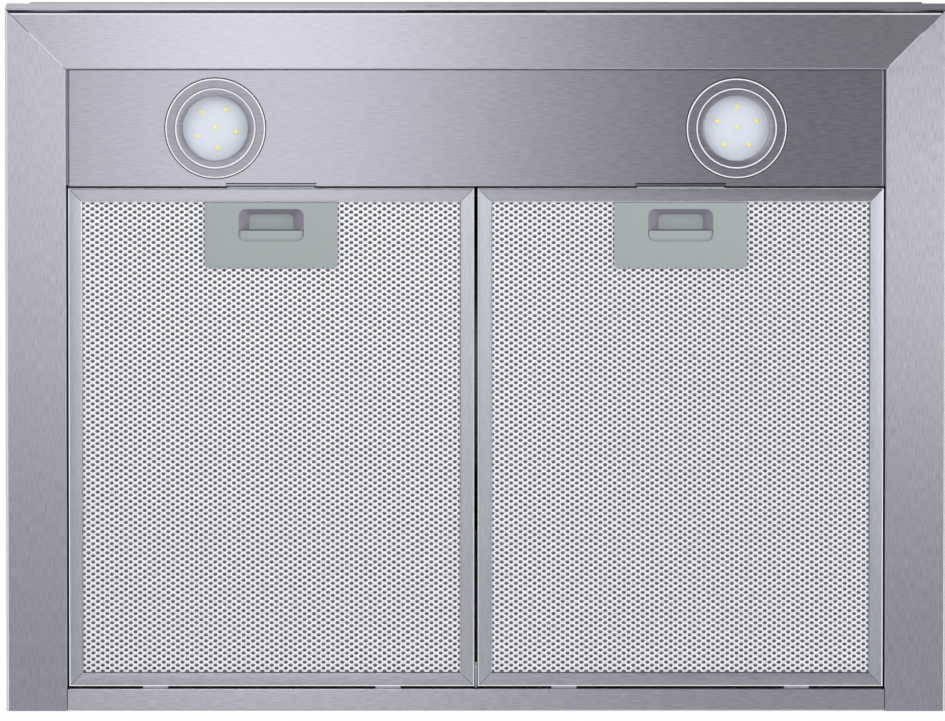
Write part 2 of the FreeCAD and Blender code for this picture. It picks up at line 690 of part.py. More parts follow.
def lamp(side, sign):
    where = {"x": f"{sign} * lamp_spacing / 2", "y": LAMP_Y}
    face = "bezel_lift"
    step = "(bezel_lift + bezel_step)"
    bezel = turned(f"lamp_bezel_{side}", [
        ("bezel_radius", "panel_recess"), ("bezel_radius", face), ("bezel_step_radius", face),
        ("bezel_step_radius", step), ("lens_opening_radius", step), ("lens_opening_radius", LENS_Z),
        ("lens_opening_radius + lens_ledge", LENS_Z), ("lens_opening_radius + lens_ledge", "bezel_seat_height"),
        ("socket_radius", "bezel_seat_height"), ("socket_radius", "panel_recess")])
    place(bezel, **where)

    rim = "(lens_opening_radius + lens_ledge - lens_clearance)"
    lens = turned(f"lamp_lens_{side}", [
        ("0", LENS_Z), (rim, LENS_Z), (rim, f"{LENS_Z} + lens_thickness"), ("0", f"{LENS_Z} + lens_thickness")])
    place(lens, **where)

    height = number(BOARD_Z)
    board = prism(number("board_radius"), number("board_thickness"), LAMP_SIDES)
    board = board.translated(Vector(0, 0, height))
    length, width, drop = number("chip_length"), number("chip_width"), number("chip_height")
    spots = [(0.0, 0.0)] + [(number("chip_circle_radius"), LAMP_CHIP_TURN[side] + turn * 360 / LAMP_CHIP_COUNT)
                            for turn in range(LAMP_CHIP_COUNT)]
    chips = []
    for radius, angle in spots:
        chip = Part.makeBox(length, width, drop, Vector(radius - length / 2, -width / 2, height - drop))
        chips.append(chip.rotated(Vector(), Vector(0, 0, 1), -angle))
    place(shaped(f"lamp_board_{side}", board.multiFuse(chips)), **where)

    can = prism(number("lamp_body_radius"), number("lamp_body_height"), LAMP_SIDES)
    place(shaped(f"lamp_body_{side}", can.translated(Vector(0, 0, number(LAMP_BODY_Z)))), **where)

    clips = new_body(f"lamp_clips_{side}")
    thick = "clip_thickness"
    foot = "(panel_recess + steel)"
    arm = f"({LAMP_BODY_Z} + clip_height)"
    out = "(lamp_body_radius + clip_reach)"
    outlines = []
    for hand in (-1, 1):
        outlines.append([(f"{hand} * {across}", up) for across, up in (
            ("lamp_body_radius", arm), (f"(lamp_body_radius + {thick})", arm),
            (f"({out} + {thick})", f"{foot} + {thick}"), (f"({out} + clip_foot)", f"{foot} + {thick}"),
            (f"({out} + clip_foot)", foot), (out, foot),
            ("lamp_body_radius", f"{arm} - 3 * {thick}"))])
    feature = clips.newObject("PartDesign::Pad", f"clips_pad_{side}")
    feature.Profile = draw(clips, "XZ_Plane", outlines)
    feature.setExpression("Length", tied("clip_width"))
    feature.SideType = "Symmetric"
    place(clips, **where)


# ---------------------------------------------------------------- grease filters
def filter_frame(side, sign):
    """Aluminium channel round the mesh, notched and folded at the corners."""
    low, high = mirrored_span(sign, FILTER_INNER, FILTER_OUTER)
    face, wall = "filter_face", "filter_wall"
    block = box(f"{side}_frame_block", (low, FILTER_FRONT, "filter_lift"), (high, FILTER_REAR, FILTER_TOP))
    soft = rounded(f"{side}_frame_edges", block, "filter_edge_radius",
                   [{"x": low, "z": "filter_lift"}, {"x": high, "z": "filter_lift"},
                    {"y": FILTER_FRONT, "z": "filter_lift"}, {"y": FILTER_REAR, "z": "filter_lift"}])
    window = box(f"{side}_window", (f"{low} + {face}", f"{FILTER_FRONT} + {face}", f"filter_lift - {OVERRUN}"),
                 (f"{high} - {face}", f"{FILTER_REAR} - {face}", f"{FILTER_TOP} + {OVERRUN}"))
    channel = box(f"{side}_channel", (f"{low} + {wall}", f"{FILTER_FRONT} + {wall}", MESH_Z),
                  (f"{high} - {wall}", f"{FILTER_REAR} - {wall}", CORE_TOP))
    centre = f"{sign} * {FILTER_MIDDLE}"
    slot = box(f"{side}_tongue_slot",
               (f"{centre} - {SLIDER_SIDE} - slider_play", f"{FILTER_FRONT} - {OVERRUN}", MESH_Z),
               (f"{centre} + {SLIDER_SIDE} + slider_play", f"{FILTER_FRONT} + 2 * {wall}", TRACK_TOP))
    tools = [window, channel, slot]
    for corner, (x, y, turn) in enumerate(((low, FILTER_FRONT, 45), (high, FILTER_FRONT, 135),
                                           (high, FILTER_REAR, 225), (low, FILTER_REAR, 315))):
        slit = doc.addObject("Part::Box", f"{side}_slit_{corner}")
        inset = number(wall) * math.sqrt(2)
        slit.Placement = Placement(Vector(), Rotation(Vector(0, 0, 1), turn))
        slit.setExpression("Length", tied(f"{face} * sqrt(2) + 2 * {OVERRUN}"))
        slit.setExpression("Width", tied("corner_slit"))
        slit.setExpression("Height", tied(wall))
        along = Vector(math.cos(math.radians(turn)), math.sin(math.radians(turn)), 0)
        across = Vector(-along.y, along.x, 0) * number("corner_slit") / 2
        start = along * inset - across
        place(slit, x=f"{x} + {start.x}", y=f"{y} + {start.y}", z="filter_lift")
        tools.append(slit)
    piece(cut(f"filter_frame_{side}", soft, tools), f"filter_frame_{side}")


def pack_bounds(sign):
    """X and Y limits of what lies inside a filter's channel."""
    near, far = mirrored_span(sign, FILTER_INNER, FILTER_OUTER)
    inset = "(filter_wall + mesh_clearance)"
    return (number(f"{near} + {inset}"), number(f"{far} - {inset}"),
            number(f"{FILTER_FRONT} + {inset}"), number(f"{FILTER_REAR} - {inset}"))


def latch_notch(sign):
    """The place that the mesh and the core leave free for the latch."""
    half = number("latch_box_width / 2 + slider_play")
    centre = number(f"{sign} * {FILTER_MIDDLE}")
    return centre - half, centre + half, number(f"{LATCH_BOX_REAR} + slider_play")


def filter_mesh(side, sign):
    """Expanded metal: one holed sheet of staggered diamonds, drawn coarser than the real mesh."""
    left, right, front, rear = pack_bounds(sign)
    notch_left, notch_right, notch_rear = latch_notch(sign)
    edge = Part.makePolygon([Vector(x, y, 0) for x, y in (
        (left, front), (notch_left, front), (notch_left, notch_rear), (notch_right, notch_rear),
        (notch_right, front), (right, front), (right, rear), (left, rear), (left, front))])
    across, row = number("diamond_width"), number("diamond_row")
    strand = number("strand_width")
    half_x = (across - strand) / 2
    half_y = row - strand / 2
    margin = number("filter_face")
    border = number("mesh_border")
    middle_x, middle_y = (left + right) / 2, (front + rear) / 2
    columns = int((right - left) / across) + 1
    rows = int((rear - front) / row) + 1
    holes = []
    for line in range(-rows, rows + 1):
        for column in range(-columns, columns + 1):
            x = middle_x + (column + (line % 2) / 2) * across
            y = middle_y + line * row
            inside = (left + margin < x - half_x and x + half_x < right - margin
                      and front + margin < y - half_y and y + half_y < rear - margin)
            clear = (x + half_x < notch_left - border or x - half_x > notch_right + border
                     or y - half_y > notch_rear + border)
            if inside and clear:
                holes.append(Part.makePolygon([Vector(x - half_x, y, 0), Vector(x, y - half_y, 0),
                                               Vector(x + half_x, y, 0), Vector(x, y + half_y, 0),
                                               Vector(x - half_x, y, 0)]))
    net = Part.makeFace([edge] + holes, "Part::FaceMakerBullseye")
    mesh = shaped(f"filter_mesh_{side}", net.extrude(Vector(0, 0, number("mesh_thickness"))))
    place(mesh, z=MESH_Z)


def filter_core(side, sign):
    """Crimped inner layer between the mesh and the channel's upper lip."""
    left, right, front, rear = pack_bounds(sign)
    notch_left, notch_right, notch_rear = latch_notch(sign)
    low, high = number(CORE_Z), number(CORE_TOP)
    skin = number("core_sheet")
    count = 2 * round((right - left) / number("core_wave"))
    step = (right - left) / count
    under = [Vector(left + k * step, front, low if k % 2 == 0 else high - skin) for k in range(count + 1)]
    over = [point + Vector(0, 0, skin) for point in reversed(under)]
    wave = Part.Face(Part.makePolygon(under + over + under[:1])).extrude(Vector(0, rear - front, 0))
    notch = Part.makeBox(notch_right - notch_left, notch_rear - front + OVERRUN, high - low + 2 * OVERRUN,
                         Vector(notch_left, front - OVERRUN, low - OVERRUN))
    shaped(f"filter_core_{side}", wave.cut(notch))


def filter_hooks(side, sign):
    """Two half-round hooks on the filter's rear edge, over the rear rail's rolled hem."""
    low, high = mirrored_span(sign, FILTER_INNER, FILTER_OUTER)
    made = []
    for place_in_row, middle in enumerate((f"{low} + hook_inset", f"{high} - hook_inset")):
        name = f"{side}_hook_{place_in_row}"
        start = f"{middle} - hook_width / 2"
        seat = "(hem_radius + hook_clearance)"
        ring = rod(f"{name}_ring", "x", (start, HEM_Y, "hem_radius"), f"{seat} + hook_thickness", "hook_width")
        web = box(f"{name}_web", (start, FILTER_REAR, "hem_radius - hook_web_drop"),
                  (f"{middle} + hook_width / 2", HEM_Y, "2 * hem_radius + hook_thickness / 2"))
        around = "(2 * (hem_radius + hook_thickness))"
        lower = box(f"{name}_lower", (f"{start} - {OVERRUN}", f"{HEM_Y} - {around}", f"hem_radius - {around}"),
                    (f"{middle} + hook_width / 2 + {OVERRUN}", f"{HEM_Y} + {around}", "hem_radius"))
        bore = rod(f"{name}_bore", "x", (f"{start} - {OVERRUN}", HEM_Y, "hem_radius"), seat,
                   f"hook_width + 2 * {OVERRUN}")
        made.append(cut(name, fuse(f"{name}_solid", [cut(f"{name}_half", ring, [lower]), web]), [bore]))
    hooks = doc.addObject("Part::Compound", f"filter_hooks_{side}")
    hooks.Links = made
    piece(hooks, f"filter_hooks_{side}")


# ---------------------------------------------------------------- latches
def latch_plate(side, sign):
    """Moulded plate with a finger hollow; behind it, the box that the slider runs in."""
    centre = f"{sign} * {FILTER_MIDDLE}"
    skin_top = "(filter_lift + latch_skin)"
    plate = box(f"{side}_latch_skin", (f"{centre} - latch_width / 2", LATCH_FRONT, "filter_lift"),
                (f"{centre} + latch_width / 2", LATCH_REAR, skin_top))
    plate = rounded(f"{side}_latch_corners", plate, "latch_corner",
                    [{"x": f"{centre} - latch_width / 2", "y": LATCH_REAR},
                     {"x": f"{centre} + latch_width / 2", "y": LATCH_REAR}])
    body = box(f"{side}_latch_box", (f"{centre} - latch_box_width / 2", LATCH_FRONT, skin_top),
               (f"{centre} + latch_box_width / 2", LATCH_BOX_REAR, CORE_TOP))
    solid = fuse(f"{side}_latch_solid", [plate, body])
    half = "(recess_width / 2)"
    wall = f"({half} + latch_box_wall)"
    bay = box(f"{side}_slider_bay", (f"{centre} - {SLIDER_SIDE} - slider_play", LEDGE_FRONT, skin_top),
              (f"{centre} + {SLIDER_SIDE} + slider_play", f"{LATCH_BOX_REAR} - latch_box_wall", TRACK_TOP))
    tools = [bay]
    for hand in (-1, 1):
        near, far = mirrored_span(hand, wall, f"{SLIDER_SIDE} + slider_play")
        tools.append(box(f"{side}_arm_track", (f"{centre} + {near}", f"{LATCH_FRONT} - {OVERRUN}", skin_top),
                         (f"{centre} + {far}", f"{LEDGE_FRONT} + {OVERRUN}", TRACK_TOP)))
    window = box(f"{side}_recess_window", (f"{centre} - {half}", RECESS_FRONT, f"filter_lift - {OVERRUN}"),
                 (f"{centre} + {half}", RECESS_REAR, skin_top))
    tools.append(rounded(f"{side}_recess_corners", window, "recess_corner",
                         [{"x": f"{centre} {hand} {half}", "y": end}
                          for hand in "-+" for end in (RECESS_FRONT, RECESS_REAR)]))
    tools.append(finger_hollow(side, centre))
    piece(cut(f"latch_plate_{side}", solid, tools), f"latch_plate_{side}")


def finger_hollow(side, centre):
    """Hollow with sloping walls, deep in front of the thumb ledge."""
    slope = number("recess_slope")
    depth = number("recess_depth")
    middle = number(centre)
    half = number("recess_width / 2")
    front, rear = number(RECESS_FRONT), number(LEDGE_FRONT)
    mouth = number("filter_lift + latch_skin")
    rings = []
    for inset, height in ((0.0, mouth), (slope, mouth + depth - number("latch_skin"))):
        corners = ((middle - half + inset, front + inset), (middle + half - inset, front + inset),
                   (middle + half - inset, rear), (middle - half + inset, rear))
        points = [Vector(x, y, height) for x, y in corners]
        rings.append(Part.makePolygon(points + points[:1]))
    hollow = doc.addObject("Part::Feature", f"{side}_finger_hollow")
    hollow.Shape = Part.makeLoft(rings, True, True)
    return hollow


def latch_slider(side, sign):
    """Thumb ledge, two arms beside the hollow and the tongue in front."""
    centre = f"{sign} * {FILTER_MIDDLE}"
    inner = "(recess_width / 2 + latch_box_wall + slider_play)"
    front = f"({FILTER_FRONT} + 2 * filter_wall)"
    tongue = box(f"{side}_tongue", (f"{centre} - {SLIDER_SIDE}", f"{FILTER_FRONT} - tongue_reach", SLIDER_Z),
                 (f"{centre} + {SLIDER_SIDE}", front, SLIDER_TOP))
    tail = box(f"{side}_tail", (f"{centre} - {SLIDER_SIDE}", RECESS_REAR, SLIDER_Z),
               (f"{centre} + {SLIDER_SIDE}", SLIDER_REAR, SLIDER_TOP))
    ledge = box(f"{side}_ledge",
                (f"{centre} - recess_width / 2 + slider_play", f"{LEDGE_FRONT} + slider_play", SLIDER_Z),
                (f"{centre} + recess_width / 2 - slider_play", RECESS_REAR, SLIDER_TOP))
    parts = [tongue, tail, ledge]
    for hand in (-1, 1):
        near, far = mirrored_span(hand, inner, SLIDER_SIDE)
        parts.append(box(f"{side}_arm", (f"{centre} + {near}", front, SLIDER_Z),
                         (f"{centre} + {far}", RECESS_REAR, SLIDER_TOP)))
    piece(fuse(f"latch_slider_{side}", parts), f"latch_slider_{side}")


def latch_spring(side, sign):
    """Return spring between the slider's tail and the latch box."""
    centre = f"{sign} * {FILTER_MIDDLE}"
    middle = f"({SLIDER_Z} + slider_thickness / 2)"
    outer = rod(f"{side}_spring_outer", "y", (centre, SLIDER_REAR, middle), "spring_radius", "spring_length")
    bore = rod(f"{side}_spring_bore", "y", (centre, f"{SLIDER_REAR} - {OVERRUN}", middle),
               "spring_radius - spring_wire", f"spring_length + 2 * {OVERRUN}")
    piece(cut(f"latch_spring_{side}", outer, [bore]), f"latch_spring_{side}")


# ---------------------------------------------------------------- blower
def spiral_point(turn, extra=0.0):
    """A point of the scroll, turn degrees back from the outlet's rear wall."""
    reach, start, sweep = number("scroll_reach"), number("scroll_start"), number("scroll_sweep")
    radius = reach - (reach - start) * turn / sweep + extra
    angle = math.radians(-turn)
    return Vector(0, number("blower_depth") + radius * math.cos(angle),
                  number("blower_height") + radius * math.sin(angle))


def spiral_edges(extra, last_turn):
    """The spiral as a chain of arcs, as a sheet-metal drawing gives it."""
    step = last_turn / SPIRAL_ARCS
    return [Part.Arc(*[spiral_point((arc + share) * step, extra) for share in (0, 0.5, 1)]).toShape()
            for arc in range(SPIRAL_ARCS)]


def scroll_wrap():
    """Spiral sheet of the scroll, its straight outlet walls and their flanges."""
    skin = number("steel")
    half = number(BLOWER_HALF)
    sweep = number("scroll_sweep")
    top = number(LID_BOTTOM)
    sides = spiral_edges(0.0, sweep) + spiral_edges(skin, sweep)
    ends = [Part.LineSegment(spiral_point(turn), spiral_point(turn, skin)).toShape() for turn in (0.0, sweep)]
    face = Part.Face(Part.Wire(Part.__sortEdges__(sides + ends)))
    spiral = face.extrude(Vector(2 * half, 0, 0)).translated(Vector(-half, 0, 0))
    rear, front = number(OUTLET_REAR), number(tongue_y())
    lip = number("outlet_flange")
    axle, tongue = number("blower_height"), spiral_point(sweep).z
    walls = [Part.makeBox(2 * half, skin, top - axle, Vector(-half, rear, axle)),
             Part.makeBox(2 * half, skin, top - tongue, Vector(-half, front - skin, tongue)),
             Part.makeBox(2 * half, lip, skin, Vector(-half, rear, top - skin)),
             Part.makeBox(2 * half, lip, skin, Vector(-half, front - lip, top - skin))]
    wrap = spiral.multiFuse(walls).removeSplitter()
    for x, y, z in top_screw_spots():
        wrap = wrap.cut(Part.makeCylinder(number("screw_shank_radius + screw_clearance"), 4 * skin,
                                          Vector(number(x), number(y), top - 2 * skin)))
    shaped("scroll_wrap", wrap)


def scroll_cheek(side, sign):
    """Flat side of the scroll with its inlet hole and a top flange."""
    skin = number("steel")
    half = number(BLOWER_HALF)
    sweep = number("scroll_sweep")
    top = number(LID_BOTTOM)
    start, end = spiral_point(0, skin), spiral_point(sweep, skin)
    front, axle = number(tongue_y()) - skin, number("blower_height")
    chord = Part.LineSegment(end, start).toShape()
    outline = Part.Wire(Part.__sortEdges__(spiral_edges(skin, sweep) + [chord]))
    spiral = Part.Face(outline).extrude(Vector(skin, 0, 0))
    mouth = Part.makeBox(skin, start.y - front, top - axle, Vector(0, front, axle))
    plate = spiral.fuse(mouth)
    hole = Part.makeCylinder(number("inlet_radius") + number("inlet_lip") / 2, 3 * skin,
                             Vector(-skin, number("blower_depth"), number("blower_height")), Vector(1, 0, 0))
    lip = number("outlet_flange")
    flange = Part.makeBox(lip, start.y - front, skin, Vector(0 if sign > 0 else skin - lip, front, top - skin))
    cheek = plate.cut(hole).fuse(flange).removeSplitter()
    shift = half if sign > 0 else -half - skin
    shaped(f"scroll_cheek_{side}", cheek.translated(Vector(shift, 0, 0)))


def inlet_ring(side, sign):
    """Flanged ring that leads the air into the impeller."""
    face = f"({BLOWER_HALF} + steel)"
    throat = "inlet_radius"
    sheet_t = "inlet_sheet"
    body = turned(f"inlet_ring_{side}", [(radius, f"{sign} * ({along})") for radius, along in (
        (f"{throat} + inlet_lip / 2 + inlet_flange", face),
        (f"{throat} + inlet_lip / 2 + inlet_flange", f"{face} + {sheet_t}"),
        (throat, f"{face} + {sheet_t}"),
        (throat, f"{face} - inlet_lip - {sheet_t}"),
        (f"{throat} + {sheet_t}", f"{face} - inlet_lip - {sheet_t}"),
        (f"{throat} + {sheet_t}", face))], axis="X")
    place(body, y="blower_depth", z="blower_height")


def impeller():
    """Double-inlet drum: forward-curved blades between two end rings, on a central disc.

    The rings and the disc have one flat to a blade.
    """
    outer = number("impeller_radius")
    root = outer - number("blade_depth")
    width = number("impeller_width")
    lean = math.radians(number("blade_lean"))
    count = round(number("blade_count"))
    thick, camber = number("blade_thickness"), number("blade_camber")

    foot = Vector(0, root, 0)
    tip_radius = outer - number("blade_tip_inset")
    tip = Vector(0, tip_radius * math.cos(lean), tip_radius * math.sin(lean))
    chord = tip - foot
    bulge = Vector(0, chord.z, -chord.y).normalize()
    curve = (chord.Length ** 2 / 4 + camber ** 2) / (2 * camber)
    centre = (foot + tip) / 2 - bulge * (curve - camber)
    flats = round(number("blade_flats"))
    swing = math.degrees((foot - centre).getAngle(tip - centre)) / flats
    turn = Vector(1, 0, 0) if (foot - centre).cross(tip - centre).x > 0 else Vector(-1, 0, 0)
    back = [centre + Rotation(turn, swing * step).multVec(foot - centre) for step in range(flats + 1)]
    front = [centre + (point - centre) * (1 - thick / curve) for point in reversed(back)]
    section = Part.Face(Part.makePolygon(back + front + back[:1]))
    inset = number("end_ring_width") / 2
    blade = section.extrude(Vector(width - 2 * inset, 0, 0)).translated(Vector(inset - width / 2, 0, 0))
    x_axis = Vector(1, 0, 0)
    blades = [blade.rotated(Vector(), x_axis, 360 * turn / count) for turn in range(count)]

    ring_width = number("end_ring_width")
    ring_inner = outer - number("end_ring_depth")
    rings = []
    lay = Rotation(Vector(0, 1, 0), 90)
    for start in (-width / 2, width / 2 - ring_width):
        ring = prism(outer, ring_width, count).cut(prism(ring_inner, ring_width, count))
        ring.Placement = Placement(Vector(start, 0, 0), lay)
        rings.append(ring)
    disc_t = number("disc_thickness")
    disc = prism(outer, disc_t, count)
    disc.Placement = Placement(Vector(-disc_t / 2, 0, 0), lay)
    hub = Part.makeCylinder(number("hub_radius"), number("hub_length"), Vector(-disc_t / 2, 0, 0), x_axis)
    bore = Part.makeCylinder(number("shaft_radius + shaft_clearance / 2"), width,
                             Vector(-width / 2, 0, 0), x_axis)
    drum = disc.multiFuse([hub] + rings + blades).cut(bore)
    place(shaped("impeller", drum), y="blower_depth", z="blower_height")


def motor_parts():
    rear = f"-({BLOWER_HALF} + steel + inlet_sheet)"
    face = "-motor_gap"
    radius = "motor_radius"
    crown = "motor_crown_radius"
    bearing = "(shaft_radius + shaft_clearance)"
    socket = f"({face} - motor_socket)"
    motor = turned("motor", [
        ("0", rear), (radius, rear), (radius, f"{face} - motor_shoulder"), (crown, f"{face} - motor_shoulder"),
        (crown, face), (bearing, face), (bearing, socket), ("0", socket)], axis="X")
    place(motor, y="blower_depth", z="blower_height")
    shaft_start = f"({face} - shaft_insertion)"
    shaft = rod("motor_shaft", "x", (shaft_start, "blower_depth", "blower_height"), "shaft_radius",
                f"hub_length + shaft_overhang - {shaft_start}")
    piece(shaft, "motor_shaft")
    hub = rod("spider_hub", "x", (f"{rear} - spider_thickness", "blower_depth", "blower_height"),
              crown, "spider_thickness")
    hole = rod("spider_hole", "x", (f"{rear} - 2 * spider_thickness", "blower_depth", "blower_height"),
               f"{crown} - spider_ring", "4 * spider_thickness")
    arms = []
    for arm in range(SPIDER_ARMS):
        strip = doc.addObject("Part::Box", f"spider_arm_{arm}")
        turn = Rotation(Vector(1, 0, 0), 90 + 360 / SPIDER_ARMS * arm)
        half = number("spider_arm") / 2
        back = turn.multVec(Vector(0, 0, -half))
        strip.Placement = Placement(Vector(), turn)
        strip.setExpression("Length", tied("spider_thickness"))
        strip.setExpression("Width", tied("inlet_radius + inlet_lip / 2 + inlet_flange - spider_setback"))
        strip.setExpression("Height", tied("spider_arm"))
        place(strip, x=f"{rear} - spider_thickness", y=f"blower_depth + {back.y}",
              z=f"blower_height + {back.z}")
        arms.append(strip)
    piece(cut("motor_spider", fuse("spider_solid", [hub] + arms), [hole]), "motor_spider")


# ---------------------------------------------------------------- duct collar and flaps
def duct_collar():
    body = new_body("duct_collar")
    foot = "liner_top_height"
    ledge = f"({FLAP_Z} - flap_thickness)"
    sketch = draw(body, "XZ_Plane", [[
        (COLLAR_BORE, foot), ("collar_radius + collar_flange", foot),
        ("collar_radius + collar_flange", f"{foot} + collar_flange_thickness"),
        ("collar_radius", f"{foot} + collar_flange_thickness"), ("collar_radius", COLLAR_TOP),
        (COLLAR_BORE, COLLAR_TOP), (COLLAR_BORE, ledge), (f"{COLLAR_BORE} - flap_ledge", ledge),
        (f"{COLLAR_BORE} - flap_ledge", f"{ledge} - flap_ledge"), (COLLAR_BORE, f"{ledge} - flap_ledge")]])
    turn = body.newObject("PartDesign::Revolution", "collar_turn")
    turn.Profile = sketch
    turn.ReferenceAxis = (sketch, ["V_Axis"])
    pocket(body, "XY_Plane", [], [(f"{a} * {COLLAR_SCREW}", f"{b} * {COLLAR_SCREW}",
                                   "screw_shank_radius + screw_clearance") for a in (-1, 1) for b in (-1, 1)])
    pocket(body, "YZ_Plane", [], [("0", FLAP_Z, "pin_radius + pin_clearance")])
    place(body, y=outlet_centre())
    reach = "(collar_radius - pin_setback)"
    pin = rod("damper_pin", "x", (f"-{reach}", outlet_centre(), FLAP_Z), "pin_radius", f"2 * {reach}")
    piece(pin, "damper_pin")


def damper_flap(name, sign):
    """Half-moon flap with two hinge knuckles on the pin; sign is the side of the pin that it covers."""
    centre = number(outlet_centre())
    level = number(FLAP_Z)
    radius = number(COLLAR_BORE) - number("flap_clearance")
    thick, setoff = number("flap_thickness"), number("flap_setoff")
    pin, wall = number("pin_radius"), number("knuckle_wall")
    disc = Part.makeCylinder(radius, thick, Vector(0, 0, -thick))
    keep = Part.makeBox(4 * radius, 2 * radius, 4 * thick, Vector(-2 * radius, setoff, -2 * thick))
    moon = disc.common(keep)
    length, gap = number("knuckle_length"), number("knuckle_gap")
    knuckles = []
    bores = []
    pitch = length + gap
    first = -2 * pitch if sign < 0 else -pitch
    along = Vector(1, 0, 0)
    for start in (first, first + 2 * pitch):
        spot = Vector(start + gap / 2, 0, 0)
        knuckles.append(Part.makeCylinder(pin + wall, length, spot, along))
        knuckles.append(Part.makeBox(length, setoff + OVERRUN, thick, spot + Vector(0, 0, -thick)))
        bores.append(Part.makeCylinder(pin + number("shaft_clearance"), length + 2 * OVERRUN,
                                       spot - along * OVERRUN, along))
    flap = moon.multiFuse(knuckles)
    for bore in bores:
        flap = flap.cut(bore)
    if sign < 0:
        flap = flap.mirror(Vector(), Vector(0, 1, 0))
    place(shaped(name, flap.removeSplitter()), y=str(centre), z=str(level))


# ---------------------------------------------------------------- buttons and junction box
def button_x(index):
    return f"({index - (len(BUTTONS) - 1) / 2} * button_pitch)"


def push_buttons():
    block = box("switch_block", ("-switch_length / 2", f"{FRONT} + steel", "button_height - switch_height / 2"),
                ("switch_length / 2", f"{FRONT} + steel + switch_depth", "button_height + switch_height / 2"))
    wells = []
    for index, name in enumerate(BUTTONS):
        start = f"{FRONT} + button_inset"
        button = rod(name, "y", (button_x(index), start, "button_height"), "button_radius", "button_length")
        piece(button, name)
        wells.append(rod(f"{name}_well", "y", (button_x(index), FRONT, "button_height"),
                         "button_radius + button_clearance",
                         "button_inset + button_length + button_travel + button_stop"))
    piece(cut("switch_housing", block, wells), "switch_housing")


def junction_box():
    low_x, high_x = f"({JUNCTION_X} - junction_length / 2)", f"({JUNCTION_X} + junction_length / 2)"
    low_y, high_y = f"({JUNCTION_Y} - junction_width / 2)", f"({JUNCTION_Y} + junction_width / 2)"
    foot, top, wall = "liner_top_height", "(liner_top_height + junction_height)", "junction_wall"
    outside = box("junction_outside", (low_x, low_y, foot), (high_x, high_y, top))
    inside = box("junction_inside", (f"{low_x} + {wall}", f"{low_y} + {wall}", f"{foot} + {wall}"),
                 (f"{high_x} - {wall}", f"{high_y} - {wall}", f"{top} + {OVERRUN}"))
    axis_z = f"({foot} + junction_height / 2)"
    entry = rod("junction_entry", "x", (f"{high_x} - 2 * {wall}", JUNCTION_Y, axis_z),
                "gland_neck_radius + gland_clearance", f"4 * {wall}")
    piece(cut("junction_box", outside, [inside, entry]), "junction_box")
    lid = box("junction_lid_block", (low_x, low_y, top), (high_x, high_y, f"{top} + junction_lid"))
    soft = rounded("junction_lid_edges", lid, "junction_lid_edge",
                   [{"x": low_x, "z": f"{top} + junction_lid"}, {"x": high_x, "z": f"{top} + junction_lid"},
                    {"y": low_y, "z": f"{top} + junction_lid"}, {"y": high_y, "z": f"{top} + junction_lid"}])
    piece(soft, "junction_lid")
    inside, length = 2 * number(wall), number("gland_length")
    along = Vector(1, 0, 0)
    neck = Part.makeCylinder(number("gland_neck_radius"), inside + length, Vector(-inside, 0, 0), along)
    grip = prism(number("gland_radius"), number("gland_grip")).rotated(Vector(), Vector(0, 1, 0), 90)
    bore = Part.makeCylinder(number("gland_bore_radius"), inside + length, Vector(-inside, 0, 0), along)
    gland = shaped("cable_gland", neck.fuse(grip).cut(bore).removeSplitter())
    place(gland, x=high_x, y=JUNCTION_Y, z=axis_z)


# ---------------------------------------------------------------- build
front_rail()
rear_rail()
front_fascia()
cabinet_flange()
filter_divider()
liner_plates()
liner_top()
screws("case_screws", screw_spots())
screws("collar_screws", [("z", 1, *spot) for spot in top_screw_spots()])
lamp_panel()
for side, sign in SIDES:
    stile(side, sign)
    lamp(side, sign)
    filter_frame(side, sign)
    filter_mesh(side, sign)
    filter_core(side, sign)
    filter_hooks(side, sign)
    latch_plate(side, sign)
    latch_slider(side, sign)
    latch_spring(side, sign)
    scroll_cheek(side, sign)
    inlet_ring(side, sign)
scroll_wrap()
impeller()
motor_parts()
duct_collar()
damper_flap("damper_flap_front", -1)
damper_flap("damper_flap_rear", 1)
push_buttons()
junction_box()
doc.recompute()

# ---------------------------------------------------------------- check and export
for item in doc.Objects:
    if "Invalid" in item.State or "Error" in item.State:
        raise RuntimeError(f"{item.Label} failed to build: {item.State}")
os.makedirs("parts", exist_ok=True)
for item in pieces:
    shape = item.Shape
    if shape.isNull() or not shape.isValid() or not shape.Solids:
        raise RuntimeError(f"{item.Label} has no valid solid")
    shape.exportStep(f"parts/{item.Label}.step")
    bounds = shape.BoundBox
    print(f"{item.Label:22s} solids {len(shape.Solids):2d} volume {shape.Volume:11.1f}  "
          f"x {bounds.XMin:7.1f} {bounds.XMax:7.1f}  y {bounds.YMin:7.1f} {bounds.YMax:7.1f}  "
          f"z {bounds.ZMin:6.1f} {bounds.ZMax:6.1f}")
print(f"{len(pieces)} pieces")
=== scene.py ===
# %% [markdown]
# # A range hood insert, dressed for the camera
# The part is a steel tray that hangs under a cabinet. It holds two lamps, two grease filters and,
# above them, a blower. The construction comes in as a fixed frame, and this file gives it its
# finishes and the fine shapes: the expanded metal of the filters, the spun lamp rings and the
# moulded latches. It is written in cells, to be read from the top down like a notebook.

# %% Load the frame
import math

